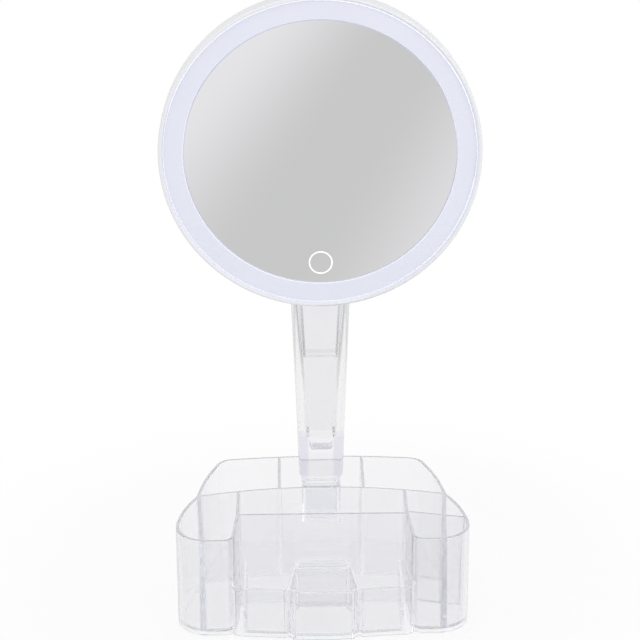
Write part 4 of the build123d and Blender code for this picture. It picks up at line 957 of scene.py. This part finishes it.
class VANITY_OT_mirror(bpy.types.Operator):
    """Finishes the mirror glass, its printed ring and the light ring round it"""

    bl_idname = "vanity.mirror"
    bl_label = "Mirror and light ring"

    def execute(self, context):
        head = context.scene.vanity_head
        finish_nodes(["mirror_glass"], silvered_glass(head))
        finish_nodes(["touch_ring"], ceramic_ink())
        finish_nodes(["diffuser_ring"], opal_acrylic(head))
        return {"FINISHED"}


class VANITY_OT_shell(bpy.types.Operator):
    """Finishes the white bezel, the rear housing and the battery door"""

    bl_idname = "vanity.shell"
    bl_label = "White shell"

    def execute(self, context):
        head = context.scene.vanity_head
        finish_nodes(["front_bezel"], gloss_abs(head))
        finish_nodes(["rear_housing", "battery_door"], grained_abs(head))
        return {"FINISHED"}


class VANITY_OT_inside(bpy.types.Operator):
    """Finishes the boards, diodes, cells and contacts inside the head"""

    bl_idname = "vanity.inside"
    bl_label = "Inside the head"

    def execute(self, context):
        finish_nodes(["light_box"], carrier_abs(context.scene.vanity_head))
        finish_nodes(["led_board", "control_board"], solder_mask())
        finish_nodes(["leds"], phosphor_silicone())
        finish_nodes(["board_parts"], black_epoxy())
        finish_nodes(["touch_sensor"], rolled_copper())
        finish_nodes(["touch_spring", "contact_springs", "contact_plates"], nickel_steel())
        low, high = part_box("aa_cell_1")
        cells = ["aa_cell_1", "aa_cell_2", "aa_cell_3", "aa_cell_4"]
        finish_nodes(cells, shrunk_sleeve(low.z, high.z))
        return {"FINISHED"}


class VANITY_OT_fasteners(bpy.types.Operator):
    """Makes the housing's cross-recessed screws and finishes the hinge screw, nut and washers"""

    bl_idname = "vanity.fasteners"
    bl_label = "Screws and hinge"

    def execute(self, context):
        head = context.scene.vanity_head
        metal = nickel_steel()
        low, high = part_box("housing_screws")
        screws = bpy.data.objects.new("cross_recessed_screws", bpy.data.meshes.new("start"))
        context.scene.collection.objects.link(screws)
        array = screws.modifiers.new("Screws", "NODES")
        array.node_group = screw_tree()
        values = {
            "Count": head.screw_count,
            "Circle": head.screw_circle,
            "Centre": Vector(((low.x + high.x) / 2, high.y, (low.z + high.z) / 2)),
            "Head Radius": head.screw_cap / 2,
            "Head Height": head.screw_cap_height,
            "Shank Radius": head.screw_shank / 2,
            "Length": high.y - low.y,
            "Recess": head.recess,
            "Metal": metal,
        }
        for socket in array.node_group.interface.items_tree:
            if socket.item_type == "SOCKET" and socket.in_out == "INPUT":
                array[socket.identifier] = values[socket.name]
        as_plain_mesh(screws, "cross_recessed_screws")
        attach(screws, "head")
        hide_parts("housing_screws")
        finish_nodes(["hinge_screw", "hinge_nut"], metal)
        finish_nodes(["hinge_washers"], turned_nylon())
        return {"FINISHED"}


class VANITY_OT_stage(bpy.types.Operator):
    """Lays the pale floor, hangs the soft lights and sets the camera"""

    bl_idname = "vanity.stage"
    bl_label = "Floor, lights and camera"

    def execute(self, context):
        scene = context.scene
        stage = scene.vanity_stage
        self.floor(scene, stage)
        self.world(scene, stage)
        self.lights(scene, stage)
        self.camera(scene, stage)
        scene.view_settings.view_transform = "Standard"
        scene.cycles.max_bounces = BOUNCES
        scene.cycles.glossy_bounces = BOUNCES
        scene.cycles.transmission_bounces = BOUNCES
        scene.cycles.transparent_max_bounces = BOUNCES
        return {"FINISHED"}

    def floor(self, scene, stage):
        """A sheet of paper just under the tray, far larger than the view."""
        mesh = bpy.data.meshes.new("floor")
        turns = ((-1, -1), (1, -1), (1, 1), (-1, 1))
        mesh.from_pydata([(x * FLOOR_HALF, y * FLOOR_HALF, -FLOOR_DROP) for x, y in turns], [], [range(4)])
        mesh.materials.append(white_paper(stage))
        floor = bpy.data.objects.new("floor", mesh)
        scene.collection.objects.link(floor)

    def world(self, scene, stage):
        """White to the eye, in gloss and through plastic; gentler as a light."""
        world = bpy.data.worlds.new("studio")
        scene.world = world
        world.use_nodes = True
        tree = world.node_tree
        tree.nodes.clear()
        eye = looked_at(tree, add(tree, "ShaderNodeLightPath"))
        light = add(tree, "ShaderNodeBackground", {"Color": linear("#FFFFFF"), "Strength": stage.sky})
        white = add(tree, "ShaderNodeBackground", {"Color": linear("#FFFFFF"), "Strength": 1.0})
        mix = add(tree, "ShaderNodeMixShader", {0: eye, 1: (light, 0), 2: (white, 0)})
        add(tree, "ShaderNodeOutputWorld", {"Surface": (mix, 0)})

    def lights(self, scene, stage):
        """Two broad soft boxes, one above on the left and one low on the right."""
        aim = Vector((0, 0, 0.2))
        for name, power, place, size in (
            ("key", stage.key_power, (-0.9, -1.0, 1.7), 1.2),
            ("fill", stage.fill_power, (1.3, -0.9, 0.9), 1.0),
        ):
            lamp = bpy.data.lights.new(name, "AREA")
            lamp.energy = power
            lamp.size = size
            light = bpy.data.objects.new(name, lamp)
            light.location = place
            light.rotation_euler = (aim - Vector(place)).to_track_quat("-Z", "Y").to_euler()
            scene.collection.objects.link(light)

    def camera(self, scene, stage):
        """Long lens looking down on the tray and straight at the mirror, as in the photograph."""
        lens = bpy.data.cameras.new("camera")
        lens.sensor_width = 36.0
        lens.lens = stage.focal_length
        camera = bpy.data.objects.new("camera", lens)
        camera.location = stage.camera_place
        aim = Vector(stage.camera_aim) - Vector(stage.camera_place)
        level = aim.to_track_quat("-Z", "Y")
        camera.rotation_euler = (level @ Quaternion((0, 0, 1), stage.camera_roll)).to_euler()
        scene.collection.objects.link(camera)
        scene.camera = camera


class VANITY_PT_panel(bpy.types.Panel):
    """Sizes, colours and steps of the vanity scene"""

    bl_idname = "VANITY_PT_panel"
    bl_label = "Vanity"
    bl_space_type = "VIEW_3D"
    bl_region_type = "UI"
    bl_category = "Vanity"

    def draw(self, context):
        scene = context.scene
        for group in (scene.vanity_clear, scene.vanity_head, scene.vanity_stage):
            box = self.layout.box()
            for name in group.bl_rna.properties.keys():
                if name not in ("rna_type", "name"):
                    box.prop(group, name)
        for step in STEPS:
            self.layout.operator(step.bl_idname)


GROUPS = (VANITY_PG_clear, VANITY_PG_head, VANITY_PG_stage)
STEPS = (
    VANITY_OT_clear_tray,
    VANITY_OT_clear_stem,
    VANITY_OT_mirror,
    VANITY_OT_shell,
    VANITY_OT_inside,
    VANITY_OT_fasteners,
    VANITY_OT_stage,
)


def register():
    """Makes the settings, steps and panel known to Blender."""
    for kind in GROUPS + STEPS + (VANITY_PT_panel,):
        bpy.utils.register_class(kind)
    bpy.types.Scene.vanity_clear = PointerProperty(type=VANITY_PG_clear)
    bpy.types.Scene.vanity_head = PointerProperty(type=VANITY_PG_head)
    bpy.types.Scene.vanity_stage = PointerProperty(type=VANITY_PG_stage)


def unregister():
    """Takes them away again."""
    del bpy.types.Scene.vanity_stage
    del bpy.types.Scene.vanity_head
    del bpy.types.Scene.vanity_clear
    for kind in reversed(GROUPS + STEPS + (VANITY_PT_panel,)):
        bpy.utils.unregister_class(kind)


def main():
    """Runs every step in order."""
    register()
    bpy.ops.vanity.clear_tray()
    bpy.ops.vanity.clear_stem()
    bpy.ops.vanity.mirror()
    bpy.ops.vanity.shell()
    bpy.ops.vanity.inside()
    bpy.ops.vanity.fasteners()
    bpy.ops.vanity.stage()


if __name__ == "__main__":
    main()
